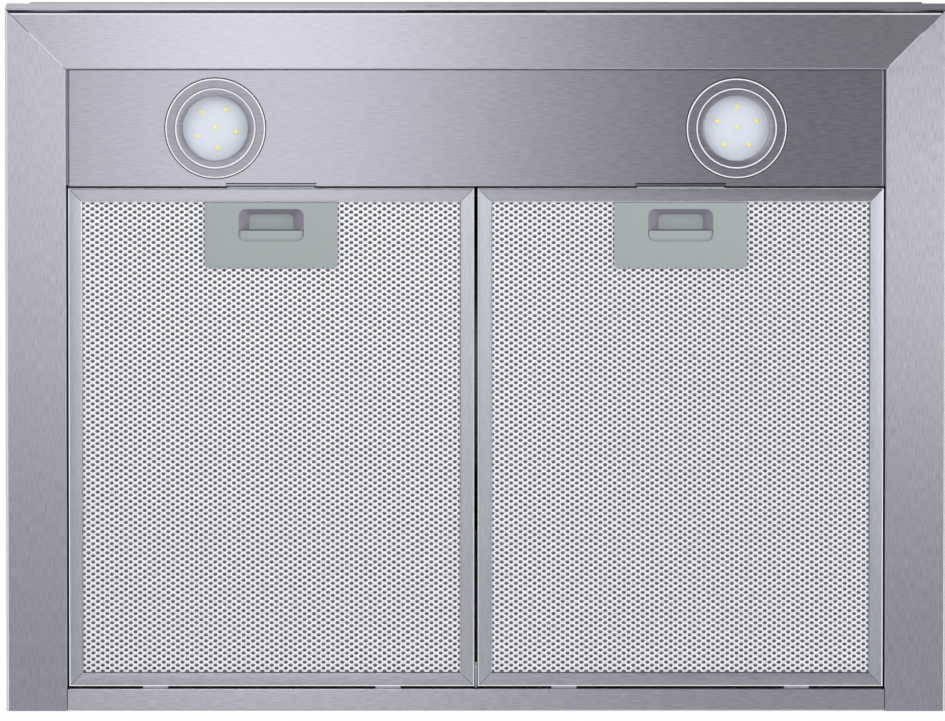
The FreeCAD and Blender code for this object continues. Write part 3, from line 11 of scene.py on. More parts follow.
import bmesh
import bpy
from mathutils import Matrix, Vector


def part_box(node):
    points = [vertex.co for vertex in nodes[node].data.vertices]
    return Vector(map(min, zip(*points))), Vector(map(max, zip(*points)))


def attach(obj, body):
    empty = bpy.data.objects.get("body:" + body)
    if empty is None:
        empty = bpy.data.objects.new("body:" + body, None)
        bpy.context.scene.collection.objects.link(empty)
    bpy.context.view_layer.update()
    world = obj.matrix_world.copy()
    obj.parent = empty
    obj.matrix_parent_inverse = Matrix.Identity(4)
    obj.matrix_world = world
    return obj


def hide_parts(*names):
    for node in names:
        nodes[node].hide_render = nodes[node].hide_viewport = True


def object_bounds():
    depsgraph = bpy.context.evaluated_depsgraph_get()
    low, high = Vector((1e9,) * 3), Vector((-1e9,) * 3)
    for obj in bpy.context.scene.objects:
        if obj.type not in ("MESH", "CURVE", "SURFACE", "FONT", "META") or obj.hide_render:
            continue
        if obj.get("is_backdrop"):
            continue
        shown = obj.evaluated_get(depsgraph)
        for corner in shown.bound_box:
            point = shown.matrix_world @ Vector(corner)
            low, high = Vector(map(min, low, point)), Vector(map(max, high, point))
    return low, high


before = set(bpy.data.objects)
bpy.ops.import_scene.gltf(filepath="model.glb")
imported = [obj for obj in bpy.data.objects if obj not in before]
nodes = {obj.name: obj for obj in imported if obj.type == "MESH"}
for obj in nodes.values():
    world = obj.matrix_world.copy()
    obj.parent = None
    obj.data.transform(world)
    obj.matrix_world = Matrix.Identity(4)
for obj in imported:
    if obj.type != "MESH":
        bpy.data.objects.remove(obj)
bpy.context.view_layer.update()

MM = 0.001                       # the frame is in metres, and the sizes below are in millimetres
SIDES = ("left", "right")

# %% [markdown]
# ## Modelling by hand, in code
# Every shape here starts as one of Blender's primitives and is worked on in edit mode. An operator
# acts on all that is selected, so a few small helpers do what a hand and an eye would do: leave
# edit mode and deselect, take up one piece, start on a fresh primitive, and select faces or edges
# by where they are.

# %% Helpers for edit mode
def clear():
    """Leave edit mode and deselect everything."""
    if bpy.context.object and bpy.context.object.mode != "OBJECT":
        bpy.ops.object.mode_set(mode="OBJECT")
    bpy.ops.object.select_all(action="DESELECT")


def take(piece):
    """Leave edit mode and select one piece alone."""
    clear()
    piece.select_set(True)
    bpy.context.view_layer.objects.active = piece


def begin(name):
    """Name the new primitive, put its place into its mesh and open it in edit mode."""
    piece = bpy.context.object
    piece.name = piece.data.name = name
    bpy.ops.object.transform_apply(location=True, rotation=True, scale=True)
    bpy.ops.object.mode_set(mode="EDIT")
    return piece


def pick(test, kind="FACE"):
    """Select only what passes: test(centre, normal) for faces, test(end, end) for edges."""
    bpy.ops.mesh.select_mode(type=kind)
    bpy.ops.mesh.select_all(action="DESELECT")
    shape = bmesh.from_edit_mesh(bpy.context.object.data)
    if kind == "FACE":
        for face in shape.faces:
            face.select_set(bool(test(face.calc_center_median(), face.normal)))
    else:
        for edge in shape.edges:
            edge.select_set(bool(test(edge.verts[0].co, edge.verts[1].co)))
    bmesh.update_edit_mesh(bpy.context.object.data)


def near(value, place, slack=0.02 * MM):
    """True when two lengths are the same, apart from rounding."""
    return abs(value - place) < slack


# %% [markdown]
# ## Two ways to start a shape
# Flat and folded things start as a block between two corners. Turned things, such as a lamp ring,
# start as a circle whose rim is extruded and resized again and again, as a lathe would cut it.
# The second way keeps every ring of points round and evenly spaced, which a boolean wouldn't.

# %% Blocks and turned shapes
TURNS = {"Z": (0, 0, 0), "Y": (-math.pi / 2, 0, 0)}    # from the Z axis to the axis of a turned piece


def block(name, low, high):
    """A box between two corners, open in edit mode."""
    low, high = Vector(low), Vector(high)
    clear()
    bpy.ops.mesh.primitive_cube_add(size=1, location=(low + high) / 2)
    bpy.context.object.scale = high - low
    return begin(name)


def turned(name, profile, steps=96, centre=(0, 0, 0), axis="Z"):
    """Turn (radius, height) corners, in mm, about an axis. A closed ring ends at its first corner."""
    clear()
    radius, height = profile[0]
    bpy.ops.mesh.primitive_circle_add(vertices=steps, radius=radius * MM,
                                      location=(0, 0, height * MM))
    piece = begin(name)
    bpy.ops.mesh.select_mode(type="EDGE")
    bpy.ops.mesh.select_all(action="SELECT")
    for next_radius, next_height in profile[1:]:
        rise = (next_height - height) * MM
        bpy.ops.mesh.extrude_region_move(TRANSFORM_OT_translate={"value": (0, 0, rise)})
        share = next_radius / radius
        bpy.ops.transform.resize(value=(share, share, 1), center_override=(0, 0, 0))
        radius, height = next_radius, next_height
    closed = profile[0] == profile[-1]
    if closed:
        bpy.ops.mesh.select_all(action="SELECT")
        bpy.ops.mesh.remove_doubles(threshold=0.001 * MM)
    else:
        for flat_radius, flat_height in (profile[0], profile[-1]):
            pick(lambda a, b: near(a.z, flat_height * MM) and near(b.z, flat_height * MM)
                 and near(a.xy.length, flat_radius * MM) and near(b.xy.length, flat_radius * MM),
                 "EDGE")
            bpy.ops.mesh.edge_face_add()
    bpy.ops.mesh.select_all(action="SELECT")
    bpy.ops.mesh.normals_make_consistent(inside=False)
    take(piece)
    piece.rotation_euler = TURNS[axis]
    piece.location = centre
    bpy.ops.object.transform_apply(location=True, rotation=True, scale=True)
    return piece


def modify(piece, kind, **settings):
    """Add a modifier, set it and apply it."""
    take(piece)
    modifier = piece.modifiers.new(kind.title(), kind)
    for name, value in settings.items():
        setattr(modifier, name, value)
    bpy.ops.object.modifier_apply(modifier=modifier.name)


def join(main, *others):
    """Make one piece of several. It keeps the first one's name."""
    take(main)
    for piece in others:
        piece.select_set(True)
    bpy.ops.object.join()


def fit(piece, material, slot, body, *replaced, smooth=30):
    """Finish a piece: shading, material, the body that it moves with and the nodes it stands for."""
    take(piece)
    bpy.ops.object.shade_smooth_by_angle(angle=math.radians(smooth))
    if not piece.data.materials:
        piece.data.materials.append(material)
    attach(piece, body)
    if replaced:
        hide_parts(*replaced)
    print(f"{piece.name}: {len(piece.data.polygons)} faces")


# %% [markdown]
# ## Colours and nodes
# Colours are written as on a paint card, in sRGB hex, and one function turns them into the linear
# values that the shader reads. Another adds a node with its settings and its links, so that a
# material reads as a short list of what feeds what.

# %% Helpers for materials
def colour(code):
    """An sRGB hex colour as linear red, green, blue and an alpha of 1."""
    parts = [int(code[start:start + 2], 16) / 255 for start in (1, 3, 5)]
    linear = [part / 12.92 if part <= 0.04045 else ((part + 0.055) / 1.055) ** 2.4 for part in parts]
    return (*linear, 1)


def add(tree, kind, inputs=None, links=None, **settings):
    """Add a node with its settings, its sockets' values and the sockets that feed it."""
    node = tree.nodes.new(kind)
    for name, value in settings.items():
        setattr(node, name, value)
    for name, value in (inputs or {}).items():
        node.inputs[name].default_value = value
    for name, source in (links or {}).items():
        tree.links.new(source, node.inputs[name])
    return node


def finish(name, **sockets):
    """A new material. Its sockets are named with underscores, such as Base_Color."""
    material = bpy.data.materials.new(name)
    material.use_nodes = True
    shader = material.node_tree.nodes["Principled BSDF"]
    for socket, value in sockets.items():
        shader.inputs[socket.replace("_", " ")].default_value = value
    return material, material.node_tree, shader


def grain(tree, size, detail=3):
    """A cloudy pattern on the piece's own coordinates. size is a patch's length along each axis, in mm."""
    place = add(tree, "ShaderNodeTexCoord")
    scale = tuple(1 / (length * MM) for length in size)
    stretch = add(tree, "ShaderNodeMapping", inputs={"Scale": scale},
                  links={"Vector": place.outputs["Object"]})
    return add(tree, "ShaderNodeTexNoise", inputs={"Scale": 1, "Detail": detail, "Roughness": 0.55},
               links={"Vector": stretch.outputs["Vector"]}).outputs["Fac"]


def steer(tree, shader, pattern, dark, light, rough, swing=0.04, height=0.003, ends=(0.3, 0.7)):
    """Let one pattern steer the colour, the roughness and the relief, which is height in mm."""
    ramp = add(tree, "ShaderNodeValToRGB", links={"Fac": pattern})
    for stop, position, code in zip(ramp.color_ramp.elements, ends, (dark, light)):
        stop.position = position
        stop.color = colour(code)
    tree.links.new(ramp.outputs["Color"], shader.inputs["Base Color"])
    worn = add(tree, "ShaderNodeMapRange", links={"Value": pattern},
               inputs={"From Min": ends[0], "From Max": ends[1],
                       "To Min": rough - swing, "To Max": rough + swing})
    tree.links.new(worn.outputs["Result"], shader.inputs["Roughness"])
    bump = add(tree, "ShaderNodeBump", inputs={"Distance": height * MM, "Strength": 1},
               links={"Height": pattern})
    tree.links.new(bump.outputs["Normal"], shader.inputs["Normal"])
    return bump


# %% [markdown]
# ## Brushed stainless steel
# The rim is 1 mm stainless sheet, drawn under a belt of fine grit, so that thousands of scratches
# run one way. They spread a reflection across the grain and leave it sharp along it: that is why
# the rails, brushed from side to side, go from bright to dark along their length, and the stiles,
# brushed front to back, don't. The shader's anisotropy does this. Its tangent lies across the
# grain. The scratches are also drawn, as noise that is 7 mm long and under a millimetre wide:
# real ones are finer, but too fine to show. Where a sheet is folded over, its rolled edge leans
# outwards and mirrors the pale room, so each folded edge shows as a thin white line. That lean is
# a ramp in the relief, one to two millimetres wide, where the steel is also smoother, and where
# its colour is painted near-white: a painted highlight that adds to the line.

# %% Brushed steel
SCRATCH = {"X": (7, 0.7, 0.7), "Y": (0.7, 7, 0.7)}      # a scratch's size in mm, for each direction
ACROSS = {"X": (0, 1, 0), "Y": (1, 0, 0)}
EDGE_LEAN = 0.9                  # how far a rolled edge falls, for each mm of its width
BURNISHED = 0.12                 # the roughness of an edge that folding has burnished
# The rolled edge's near-white colour is a painted highlight, on top of the smoother burnish.
EDGE_HIGHLIGHT = "#FAFAFC"           # and its shade, almost a mirror


def brushed_steel(name, along, dark="#B8B7C3", light="#D2D1DC", rough=0.33, edges=()):
    """Steel that is brushed along an axis, with rolled edges that carry a painted highlight.

    edges are (axis, place, width) in mm. A width under 0 runs towards lower values.
    """
    material, tree, shader = finish(name, Metallic=1, Anisotropic=0.8)
    bump = steer(tree, shader, grain(tree, SCRATCH[along]), dark, light, rough, 0.03, 0.005)
    across = add(tree, "ShaderNodeCombineXYZ", inputs=dict(zip("XYZ", ACROSS[along])))
    tree.links.new(across.outputs["Vector"], shader.inputs["Tangent"])
    for axis, start, width in edges:
        place = add(tree, "ShaderNodeTexCoord")
        parts = add(tree, "ShaderNodeSeparateXYZ", links={"Vector": place.outputs["Object"]})
        roll = add(tree, "ShaderNodeMapRange", links={"Value": parts.outputs[axis]},
                   inputs={"From Min": start * MM, "From Max": (start + width) * MM})
        folded = add(tree, "ShaderNodeBump",
                     inputs={"Distance": abs(width) * EDGE_LEAN * MM, "Strength": 1},
                     links={"Height": roll.outputs["Result"], "Normal": bump.outputs["Normal"]})
        tree.links.new(folded.outputs["Normal"], shader.inputs["Normal"])
        bump = folded
        flat = add(tree, "ShaderNodeMath", operation="GREATER_THAN", inputs={1: 0.98},
                   links={0: roll.outputs["Result"]})
        brushed = shader.inputs["Roughness"].links[0].from_socket
        smoother = add(tree, "ShaderNodeMapRange", inputs={"To Min": BURNISHED},
                       links={"Value": flat.outputs[0], "To Max": brushed})
        tree.links.new(smoother.outputs["Result"], shader.inputs["Roughness"])
        # On the rolled edge the colour turns near-white: a painted highlight.
        tinted = shader.inputs["Base Color"].links[0].from_socket
        brighter = add(tree, "ShaderNodeMixRGB", inputs={"Color1": colour(EDGE_HIGHLIGHT)},
                       links={"Fac": flat.outputs[0], "Color2": tinted})
        tree.links.new(brighter.outputs["Color"], shader.inputs["Base Color"])
    return material


rail_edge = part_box("front_rail")[0].y / MM
rear_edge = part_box("rear_rail")[0].y / MM
stile_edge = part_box("right_stile")[1].x / MM
# Stainless sheet, belt-brushed: a grey mirror, drawn out across the scratches.
front_steel = brushed_steel("stainless front rail, brushed from side to side", "X",
                            edges=[("Y", rail_edge, 1.9)])
rear_steel = brushed_steel("stainless rear rail, brushed from side to side", "X",
                           edges=[("Y", rear_edge, 1.2)])
lip_steel = brushed_steel("stainless lip, brushed from side to side", "X")
panel_steel = brushed_steel("stainless lamp panel, brushed from side to side", "X", "#A8A7B3", "#C0BFCA")
stile_steel = brushed_steel("stainless stile, brushed front to back", "Y",
                            edges=[("X", stile_edge, -1.6), ("X", -stile_edge, 1.6)])
# Spun and then straight-brushed, so its sheen is a little softer and darker than the sheet's.
bezel_steel = brushed_steel("spun steel, straight brushed", "X", "#9C9BA6", "#B4B3BF", 0.4)
# The filters' channels are aluminium strip, brushed along each member before they are mitred.
channel_x = brushed_steel("aluminium strip, brushed from side to side", "X", "#B4B4BE", "#CACAD4",
                          0.38)
channel_y = brushed_steel("aluminium strip, brushed front to back", "Y", "#CCCED9", "#DADCE6", 0.38)
print("brushed finishes:", len([m for m in bpy.data.materials if "brushed" in m.name]))

# %% [markdown]
# ## Other metals
# Galvanised sheet has a zinc spangle a few millimetres across, expanded aluminium is etched to a
# soft white, die-cast aluminium is grainy, and rods and screws are ground or plated smooth. One
# function makes all but the spangle, because they differ only in scale, shade and smoothness, and
# in how much of a mirror they are.

# %% Metals
def galvanised():
    """Hot-dipped sheet: zinc crystals of 6 mm, each at its own slight tilt and shade."""
    material, tree, shader = finish("galvanised sheet with zinc spangle", Metallic=1)
    place = add(tree, "ShaderNodeTexCoord")
    spangle = add(tree, "ShaderNodeTexVoronoi", inputs={"Scale": 1 / (6 * MM)},
                  links={"Vector": place.outputs["Object"]}).outputs["Color"]
    steer(tree, shader, spangle, "#8F9498", "#B4B9BB", 0.42, 0.08, 0.004, (0.1, 0.9))
    return material


def plain_metal(name, dark, light, rough, patch=(3, 3, 3), height=0.003, metallic=1.0):
    """Metal with a cloudy grain. patch is the grain's size in mm along X, Y and Z."""
    material, tree, shader = finish(name, Metallic=metallic)
    steer(tree, shader, grain(tree, patch), dark, light, rough, 0.04, height)
    return material


zinc = galvanised()
# Etched foil keeps a thin white oxide, so it is only partly a mirror: bright and even all over.
OXIDE = 0.45                     # how metallic the foil looks through it
mesh_alu = plain_metal("etched expanded aluminium", "#ECECF2", "#FBFBFE", 0.4, (2, 2, 2), metallic=OXIDE)
# The inner sheets are the same foil, painted darker: painted shade for the light that the face sheet keeps
# from them.
core_alu_painted_shade = plain_metal("etched inner aluminium with painted shade", "#9C9CA6", "#B8B8C2", 0.5, (2, 2, 2), metallic=OXIDE)
# Folding and spinning burnish an edge to a near mirror; its near-white colour is a painted highlight.
burnished_highlight = plain_metal("burnished edge", "#F4F4F8", EDGE_HIGHLIGHT, BURNISHED + 0.04)
# Sand-like skin from the die, dull grey.
cast_alu = plain_metal("die-cast aluminium", "#8D9093", "#A6A9AC", 0.55, (0.8, 0.8, 0.8), 0.02)
# Mill-finish strip, soft and even.
strip_alu = plain_metal("mill-finish aluminium strip", "#C2C2CC", "#CDCDD7", 0.42, (6, 6, 6))
# Bright plating, slightly warm.
bright_zinc = plain_metal("bright zinc plate", "#B9BAB4", "#CFCFC9", 0.28)
# Ground rod shows fine rings round its length.
ground_steel = plain_metal("ground steel rod", "#A8A9AC", "#BFC0C3", 0.25, (0.4, 4, 4))
# Metallised plastic cap: a satin silver film.
satin_cap = plain_metal("satin metallised cap", "#B7B7BC", "#C6C6CB", 0.3, (8, 0.4, 0.4))
print("metals:", len(bpy.data.materials))

# %% [markdown]
# ## Plastics and enamel
# Moulded plastic takes the fine pebbled texture of its tool and has a low sheen. Its IOR is 1.5.
# The latches are a grey-green ABS. Inside their finger hollows the same plastic is in the shade
# and mirrors the violet-grey steel around it, so there it gets a darker, violet colour of its own:
# painted shade and painted reflection.

# %% Plastics and enamel
def moulded(name, dark, light, rough=0.45, texture=0.5, height=0.01, **sockets):
    """Injection-moulded plastic with a spark-eroded texture. texture is its grain in mm."""
    material, tree, shader = finish(name, IOR=1.5, **sockets)
    steer(tree, shader, grain(tree, (texture,) * 3, 2), dark, light, rough, 0.05, height)
    return material


# Satin, with the finest pebble: the eye sees a soft, even sheen.
latch_plastic = moulded("grey-green moulded ABS", "#969F9F", "#9EA7A6", 0.5)
# Painted shade and painted reflection: a darker, violet-grey copy of the latch ABS for the hollow's walls.
hollow_painted_shade_plastic = moulded("moulded ABS of the finger hollow", "#87838F", "#918D99", 0.55)
# A rubber seal is matt and nearly black; round each lamp ring it also stands for the shade in the gap there:
# painted shade.
seal_rubber_gap_shade = moulded("black rubber seal with painted gap shade", "#121214", "#1A1A1C", 0.7, 0.6)
# Nylon straight from a polished tool: black with a soft gloss.
black_plastic = moulded("black moulded nylon", "#1C1D1F", "#26272A", 0.4)
# Glass fibres near the surface make the impeller's plastic duller and a shade greyer.
fan_plastic = moulded("black glass-filled polypropylene", "#202124", "#2B2C30", 0.5)
# The electrical box: pale, slightly glossy.
grey_plastic = moulded("light grey polycarbonate", "#B2B5B4", "#BDBFBE", 0.42)
# Baked enamel flows out before it sets, so its gloss is broken only by slow ripples.
motor_enamel = moulded("dark grey stoving enamel", "#33363A", "#3D4044", 0.3, 2, 0.01)
# Solder mask is a thin glossy white lacquer over the board.
board_white = moulded("white solder mask", "#D3D9E6", "#DBE1ED", 0.35, 1.0, 0.004)
# Phosphor gel over each chip is a soft lemon yellow.
chip_yellow = moulded("yellow phosphor gel", "#FFF068", "#FFF683", 0.3, 0.4, 0.004)
print("finishes so far:", len(bpy.data.materials))

# %% [markdown]
# ## The clear lens
# The lamp's cover is a thin polycarbonate disc with fine rings of prisms moulded on its back. The
# board and its chips show plainly through it. A true refracting glass would need light to find
# its way in and out again, so here most of the light goes straight through, by alpha, and the
# little that is left gives the face its milk and its gloss. The prisms are drawn as relief.

# %% Lens material
PRISM_PITCH = 1.6 * MM           # from one ring of prisms to the next
MILK = 0.11                      # how much of the light the lens keeps
WAVE = 0.314                     # a wave texture repeats after this much over its scale: pi / 10


def prismatic(name, centre):
    """Clear polycarbonate with rings of small prisms about a centre."""
    material, tree, shader = finish(name, IOR=1.58, Alpha=MILK)
    place = add(tree, "ShaderNodeTexCoord")
    local = add(tree, "ShaderNodeMapping", inputs={"Location": -centre},
                links={"Vector": place.outputs["Object"]})
    parts = add(tree, "ShaderNodeVectorMath", operation="MULTIPLY", inputs={1: (1, 1, 0)},
                links={0: local.outputs["Vector"]})
    rings = add(tree, "ShaderNodeTexWave", wave_type="RINGS", rings_direction="SPHERICAL",
                wave_profile="SIN", inputs={"Scale": WAVE / PRISM_PITCH, "Distortion": 0},
                links={"Vector": parts.outputs["Vector"]})
    steer(tree, shader, rings.outputs["Fac"], "#E3E9F4", "#F6F9FF", 0.3, 0.08, 0.02)
    return material


# %% [markdown]
# ## Finishes for the pieces that keep their construction shape
# Folded sheet, the blower and the motor are already the right shape, so they only get a finish.
# A node's look is its material slot, and nothing else about it changes.

# %% Dress the construction
DRESS = {
    front_steel: ("front_rail",),
    rear_steel: ("rear_rail",),
    lip_steel: ("front_fascia",),
    panel_steel: ("lamp_panel",),
    stile_steel: ("left_stile", "right_stile"),
    zinc: ("cabinet_flange", "filter_divider", "liner_front", "liner_rear", "liner_left", "liner_right",
           "liner_top", "scroll_wrap", "scroll_cheek_left", "scroll_cheek_right", "inlet_ring_left",
           "inlet_ring_right", "motor_spider", "lamp_clips_left", "lamp_clips_right"),
    cast_alu: ("lamp_body_left", "lamp_body_right"),
    strip_alu: ("filter_hooks_left", "filter_hooks_right"),
    bright_zinc: ("latch_spring_left", "latch_spring_right", "case_screws", "collar_screws"),
    fan_plastic: ("impeller",),
    motor_enamel: ("motor",),
    ground_steel: ("motor_shaft", "damper_pin"),
    black_plastic: ("duct_collar", "damper_flap_front", "damper_flap_rear", "switch_housing", "cable_gland"),
    grey_plastic: ("junction_box",),
    latch_plastic: ("latch_slider_left", "latch_slider_right"),
}
for material, names in DRESS.items():
    for name in names:
        nodes[name].data.materials.clear()
        nodes[name].data.materials.append(material)
print("dressed", sum(len(names) for names in DRESS.values()), "nodes")

# %% [markdown]
# ## Filter frames
# Each filter is held by a folded aluminium channel, mitred at its corners. A plane with an inset
# gives the ring and its four mitre lines at once, and a second inset, moved out, gives both edges
# a slant. That slant is steep enough to mirror the room past the light card, so it shows as a white
# line, and its near-white colour adds a painted highlight. The ring is extruded for its walls, and
# the mitre lines are opened by a bevel and pressed in, as two folded ends meet.

# %% Filter frames
FACE_WIDTH = 9 * MM
SLANT = (0.8 * MM, 0.5 * MM)     # how wide and how deep the slant of each edge is
SEAM_WIDTH = 0.2 * MM
SEAM_DEPTH = 0.35 * MM


def burnish_with_highlight(piece):
    """Give the slanting faces on a piece's underside the smooth edge finish, whose near-white colour is a
    painted highlight.
    """
    take(piece)
    piece.data.materials.append(burnished_highlight)
    bpy.ops.object.mode_set(mode="EDIT")
    pick(lambda centre, normal: -0.9 < normal.z < -0.6)
    piece.active_material_index = len(piece.data.materials) - 1
    bpy.ops.object.material_slot_assign()
    clear()


def on_mitre(point, low, high):
    """True on the 45 degree lines that run in from the frame's four corners."""
    from_side = min(point.x - low.x, high.x - point.x)
    from_end = min(point.y - low.y, high.y - point.y)
    return near(from_side, from_end)


def filter_frame(side):
    """The folded channel round one filter, with open mitre seams at its corners."""
    low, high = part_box(f"filter_frame_{side}")
    face_level = low.z + SLANT[1]
    clear()
    bpy.ops.mesh.primitive_plane_add(size=1, location=((low.x + high.x) / 2, (low.y + high.y) / 2,
                                                       face_level))
    bpy.context.object.scale = (high.x - low.x, high.y - low.y, 1)
    piece = begin(f"filter_channel_{side}")
    piece.data.materials.append(channel_x)
    piece.data.materials.append(channel_y)
    bpy.ops.mesh.select_all(action="SELECT")
    bpy.ops.mesh.inset(thickness=FACE_WIDTH, depth=0)
    bpy.ops.mesh.delete(type="FACE")
    pick(lambda centre, normal: min(centre.x - low.x, high.x - centre.x) < FACE_WIDTH)
    piece.active_material_index = 1
    bpy.ops.object.material_slot_assign()
    bpy.ops.mesh.select_all(action="SELECT")
    bpy.ops.mesh.extrude_region_move(
        TRANSFORM_OT_translate={"value": (0, 0, high.z - low.z - SLANT[1])})
    bpy.ops.mesh.select_all(action="SELECT")
    bpy.ops.mesh.normals_make_consistent(inside=False)
    pick(lambda centre, normal: near(centre.z, face_level))
    bpy.ops.mesh.inset(thickness=SLANT[0], depth=0)
    bpy.ops.transform.translate(value=(0, 0, -SLANT[1]))

    def seam(a, b):
        return all(near(end.z, low.z) and on_mitre(end, low, high) for end in (a, b))

    pick(lambda a, b: seam(a, b) and (a - b).length > FACE_WIDTH / 2, "EDGE")
    bpy.ops.mesh.bevel(offset=SEAM_WIDTH, segments=2, profile=0.5)
    pick(seam, "EDGE")
    bpy.ops.transform.translate(value=(0, 0, SEAM_DEPTH))
    # The slanting edges get the near-white edge finish: a painted highlight.
    burnish_with_highlight(piece)
    fit(piece, channel_x, "filter_frame", f"filter_{side}", f"filter_frame_{side}", smooth=20)


for side in SIDES:
    filter_frame(side)

# %% [markdown]
# ## Expanded metal
# The filter's face is aluminium foil that was slit in staggered rows and pulled open. Its holes lie
# 6 mm apart in rows 1.95 mm apart, every other row half a hole along. Six-sided cells fill such a
# pattern without gaps, so one cell is modelled, with a flat land all round and a hole whose sides
# slope in, and three arrays lay it out. The slopes catch the lamps, which makes the mesh glitter.
# A cell has few faces, because there are about six thousand to a filter. Two sheets lie behind
# the face, a little rougher and painted darker as painted shade: one of the same pattern, half a
# hole along, and a coarser one at the back.

# %% Expanded metal
DIAMOND = (6.0 * MM, 3.9 * MM)   # the pitch of the holes along a row, and of every other row
WIDE_DIAMOND = (9.0 * MM, 5.4 * MM)    # the same for the coarser sheet at the back
SHEET_MARGIN = 2.2 * MM          # from the sheet's edge to the middle of its outermost cells
LATCH_DEPTH = 41.8 * MM          # the latch's plate, front to back
NOTCH_HALF = 37.3 * MM           # half the width that the sheets leave free for the latch


def expanded_sheet(name, low, high, level, pitch, land, hole, sink, notch, shift=(0, 0)):
    """Expanded metal at a height, in the box from low to high.

    land and hole are shares of the cell along X and Y. notch is (left, right, rear) of the latch.
    """
    clear()
    bpy.ops.mesh.primitive_circle_add(vertices=6, radius=1, fill_type="NGON",
                                      rotation=(0, 0, math.pi / 2))
    bpy.context.object.scale = (pitch[1] / math.sqrt(3), pitch[0] / 3, 1)
    sheet = begin(name)
    bpy.ops.mesh.select_all(action="SELECT")
    bpy.ops.mesh.normals_make_consistent(inside=False)
    pick(lambda centre, normal: True)
    reach = (1.0, 1.0)
    for share, depth in ((land, 0), (hole, sink)):
        bpy.ops.mesh.inset(thickness=0.02 * MM, depth=0)
        ratio = (share[0] / reach[0], share[1] / reach[1], 1)
        bpy.ops.transform.resize(value=ratio, center_override=(0, 0, 0))
        bpy.ops.transform.translate(value=(0, 0, depth))
        reach = share
    bpy.ops.mesh.delete(type="FACE")
    bpy.ops.mesh.select_all(action="SELECT")
    shape = bmesh.from_edit_mesh(sheet.data)
    shape.faces.ensure_lookup_table()
    if shape.faces[0].normal.z > 0:
        bpy.ops.mesh.flip_normals()
    clear()
    columns = int((high.x - low.x) / pitch[0]) + 1
    rows = int((high.y - low.y) / pitch[1]) + 1
    steps = ((2, (pitch[0] / 2, pitch[1] / 2, 0)), (columns, (pitch[0], 0, 0)), (rows, (0, pitch[1], 0)))
    for count, step in steps:
        modify(sheet, "ARRAY", count=count, use_relative_offset=False, use_constant_offset=True,
               constant_offset_displace=step)
    middle = (low + high) / 2
    sheet.location = (middle.x - columns * pitch[0] / 2 + shift[0],
                      middle.y - rows * pitch[1] / 2 + shift[1], level)
    bpy.ops.object.transform_apply(location=True, rotation=True, scale=True)
    bpy.ops.object.mode_set(mode="EDIT")

    def outside(centre, normal):
        within = all(low[axis] + SHEET_MARGIN < centre[axis] < high[axis] - SHEET_MARGIN for axis in (0, 1))
        return not within or (notch[0] < centre.x < notch[1] and centre.y < notch[2])

    pick(outside)
    bpy.ops.mesh.delete(type="FACE")
    clear()
    return sheet


for side in SIDES:
    low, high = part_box(f"filter_mesh_{side}")
    plate_low, plate_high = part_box(f"latch_plate_{side}")
    middle = (plate_low.x + plate_high.x) / 2
    notch = (middle - NOTCH_HALF, middle + NOTCH_HALF, plate_low.y + LATCH_DEPTH)
    face = expanded_sheet(f"filter_face_{side}", low, high, low.z + 0.3 * MM, DIAMOND, (0.95, 0.70),
                          (0.78, 0.52), 0.25 * MM, notch)
    fit(face, mesh_alu, "filter_mesh", f"filter_{side}", f"filter_mesh_{side}", smooth=20)
    low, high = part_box(f"filter_core_{side}")
    inner = expanded_sheet(f"filter_layer_a_{side}", low, high, low.z + 0.8 * MM, DIAMOND, (0.9, 0.7),
                           (0.7, 0.5), 0.4 * MM, notch, (DIAMOND[0] / 2, -0.5 * MM))
    fit(inner, core_alu_painted_shade, "filter_mesh", f"filter_{side}", f"filter_core_{side}", smooth=20)
    outer = expanded_sheet(f"filter_layer_b_{side}", low, high, high.z - 0.6 * MM, WIDE_DIAMOND,
                           (0.8, 0.7), (0.6, 0.5), -0.4 * MM, notch)
    fit(outer, core_alu_painted_shade, "filter_mesh", f"filter_{side}", f"filter_core_{side}", smooth=20)

# %% [markdown]
# ## Latches
# A latch plate is one moulding: a thin plate with rounded rear corners, a box behind it, and a
# finger hollow whose walls slope in, because the moulding has to leave its tool. The hollow is cut
# by a boolean with a tapered, rounded block. Behind it lies the ledge that the finger pulls, in a
# window and a slot of its own.

# %% Latch plates
LATCH_SKIN = 1.0 * MM            # the plate's thickness
LATCH_CORNER = 2.6 * MM
BOX_HALF = 37 * MM               # half the width of the box behind the plate
WALL = 4.1 * MM                  # from the plate's front edge to the hollow
WELL_LENGTH = 13.6 * MM          # the deep part of the hollow, in front of the ledge
HOLLOW_LENGTH = 20.8 * MM        # the whole hollow, with the ledge
HOLLOW_HALF = 20.75 * MM
HOLLOW_CORNER = 4.5 * MM
HOLLOW_DEPTH = 7.0 * MM
TAPER = (0.68, 0.72)             # the well's floor as a share of its mouth, along X and Y
BAY = (0.5 * MM, 4.2 * MM, 3 * MM)     # the ledge's slot: its low and high level, and its reach


def round_corners(place, radius):
    """Round the upright edges of a block that stand at one Y."""
    pick(lambda a, b: near(a.y, place) and near(b.y, place) and near(a.x, b.x), "EDGE")
    bpy.ops.mesh.bevel(offset=radius, segments=6)


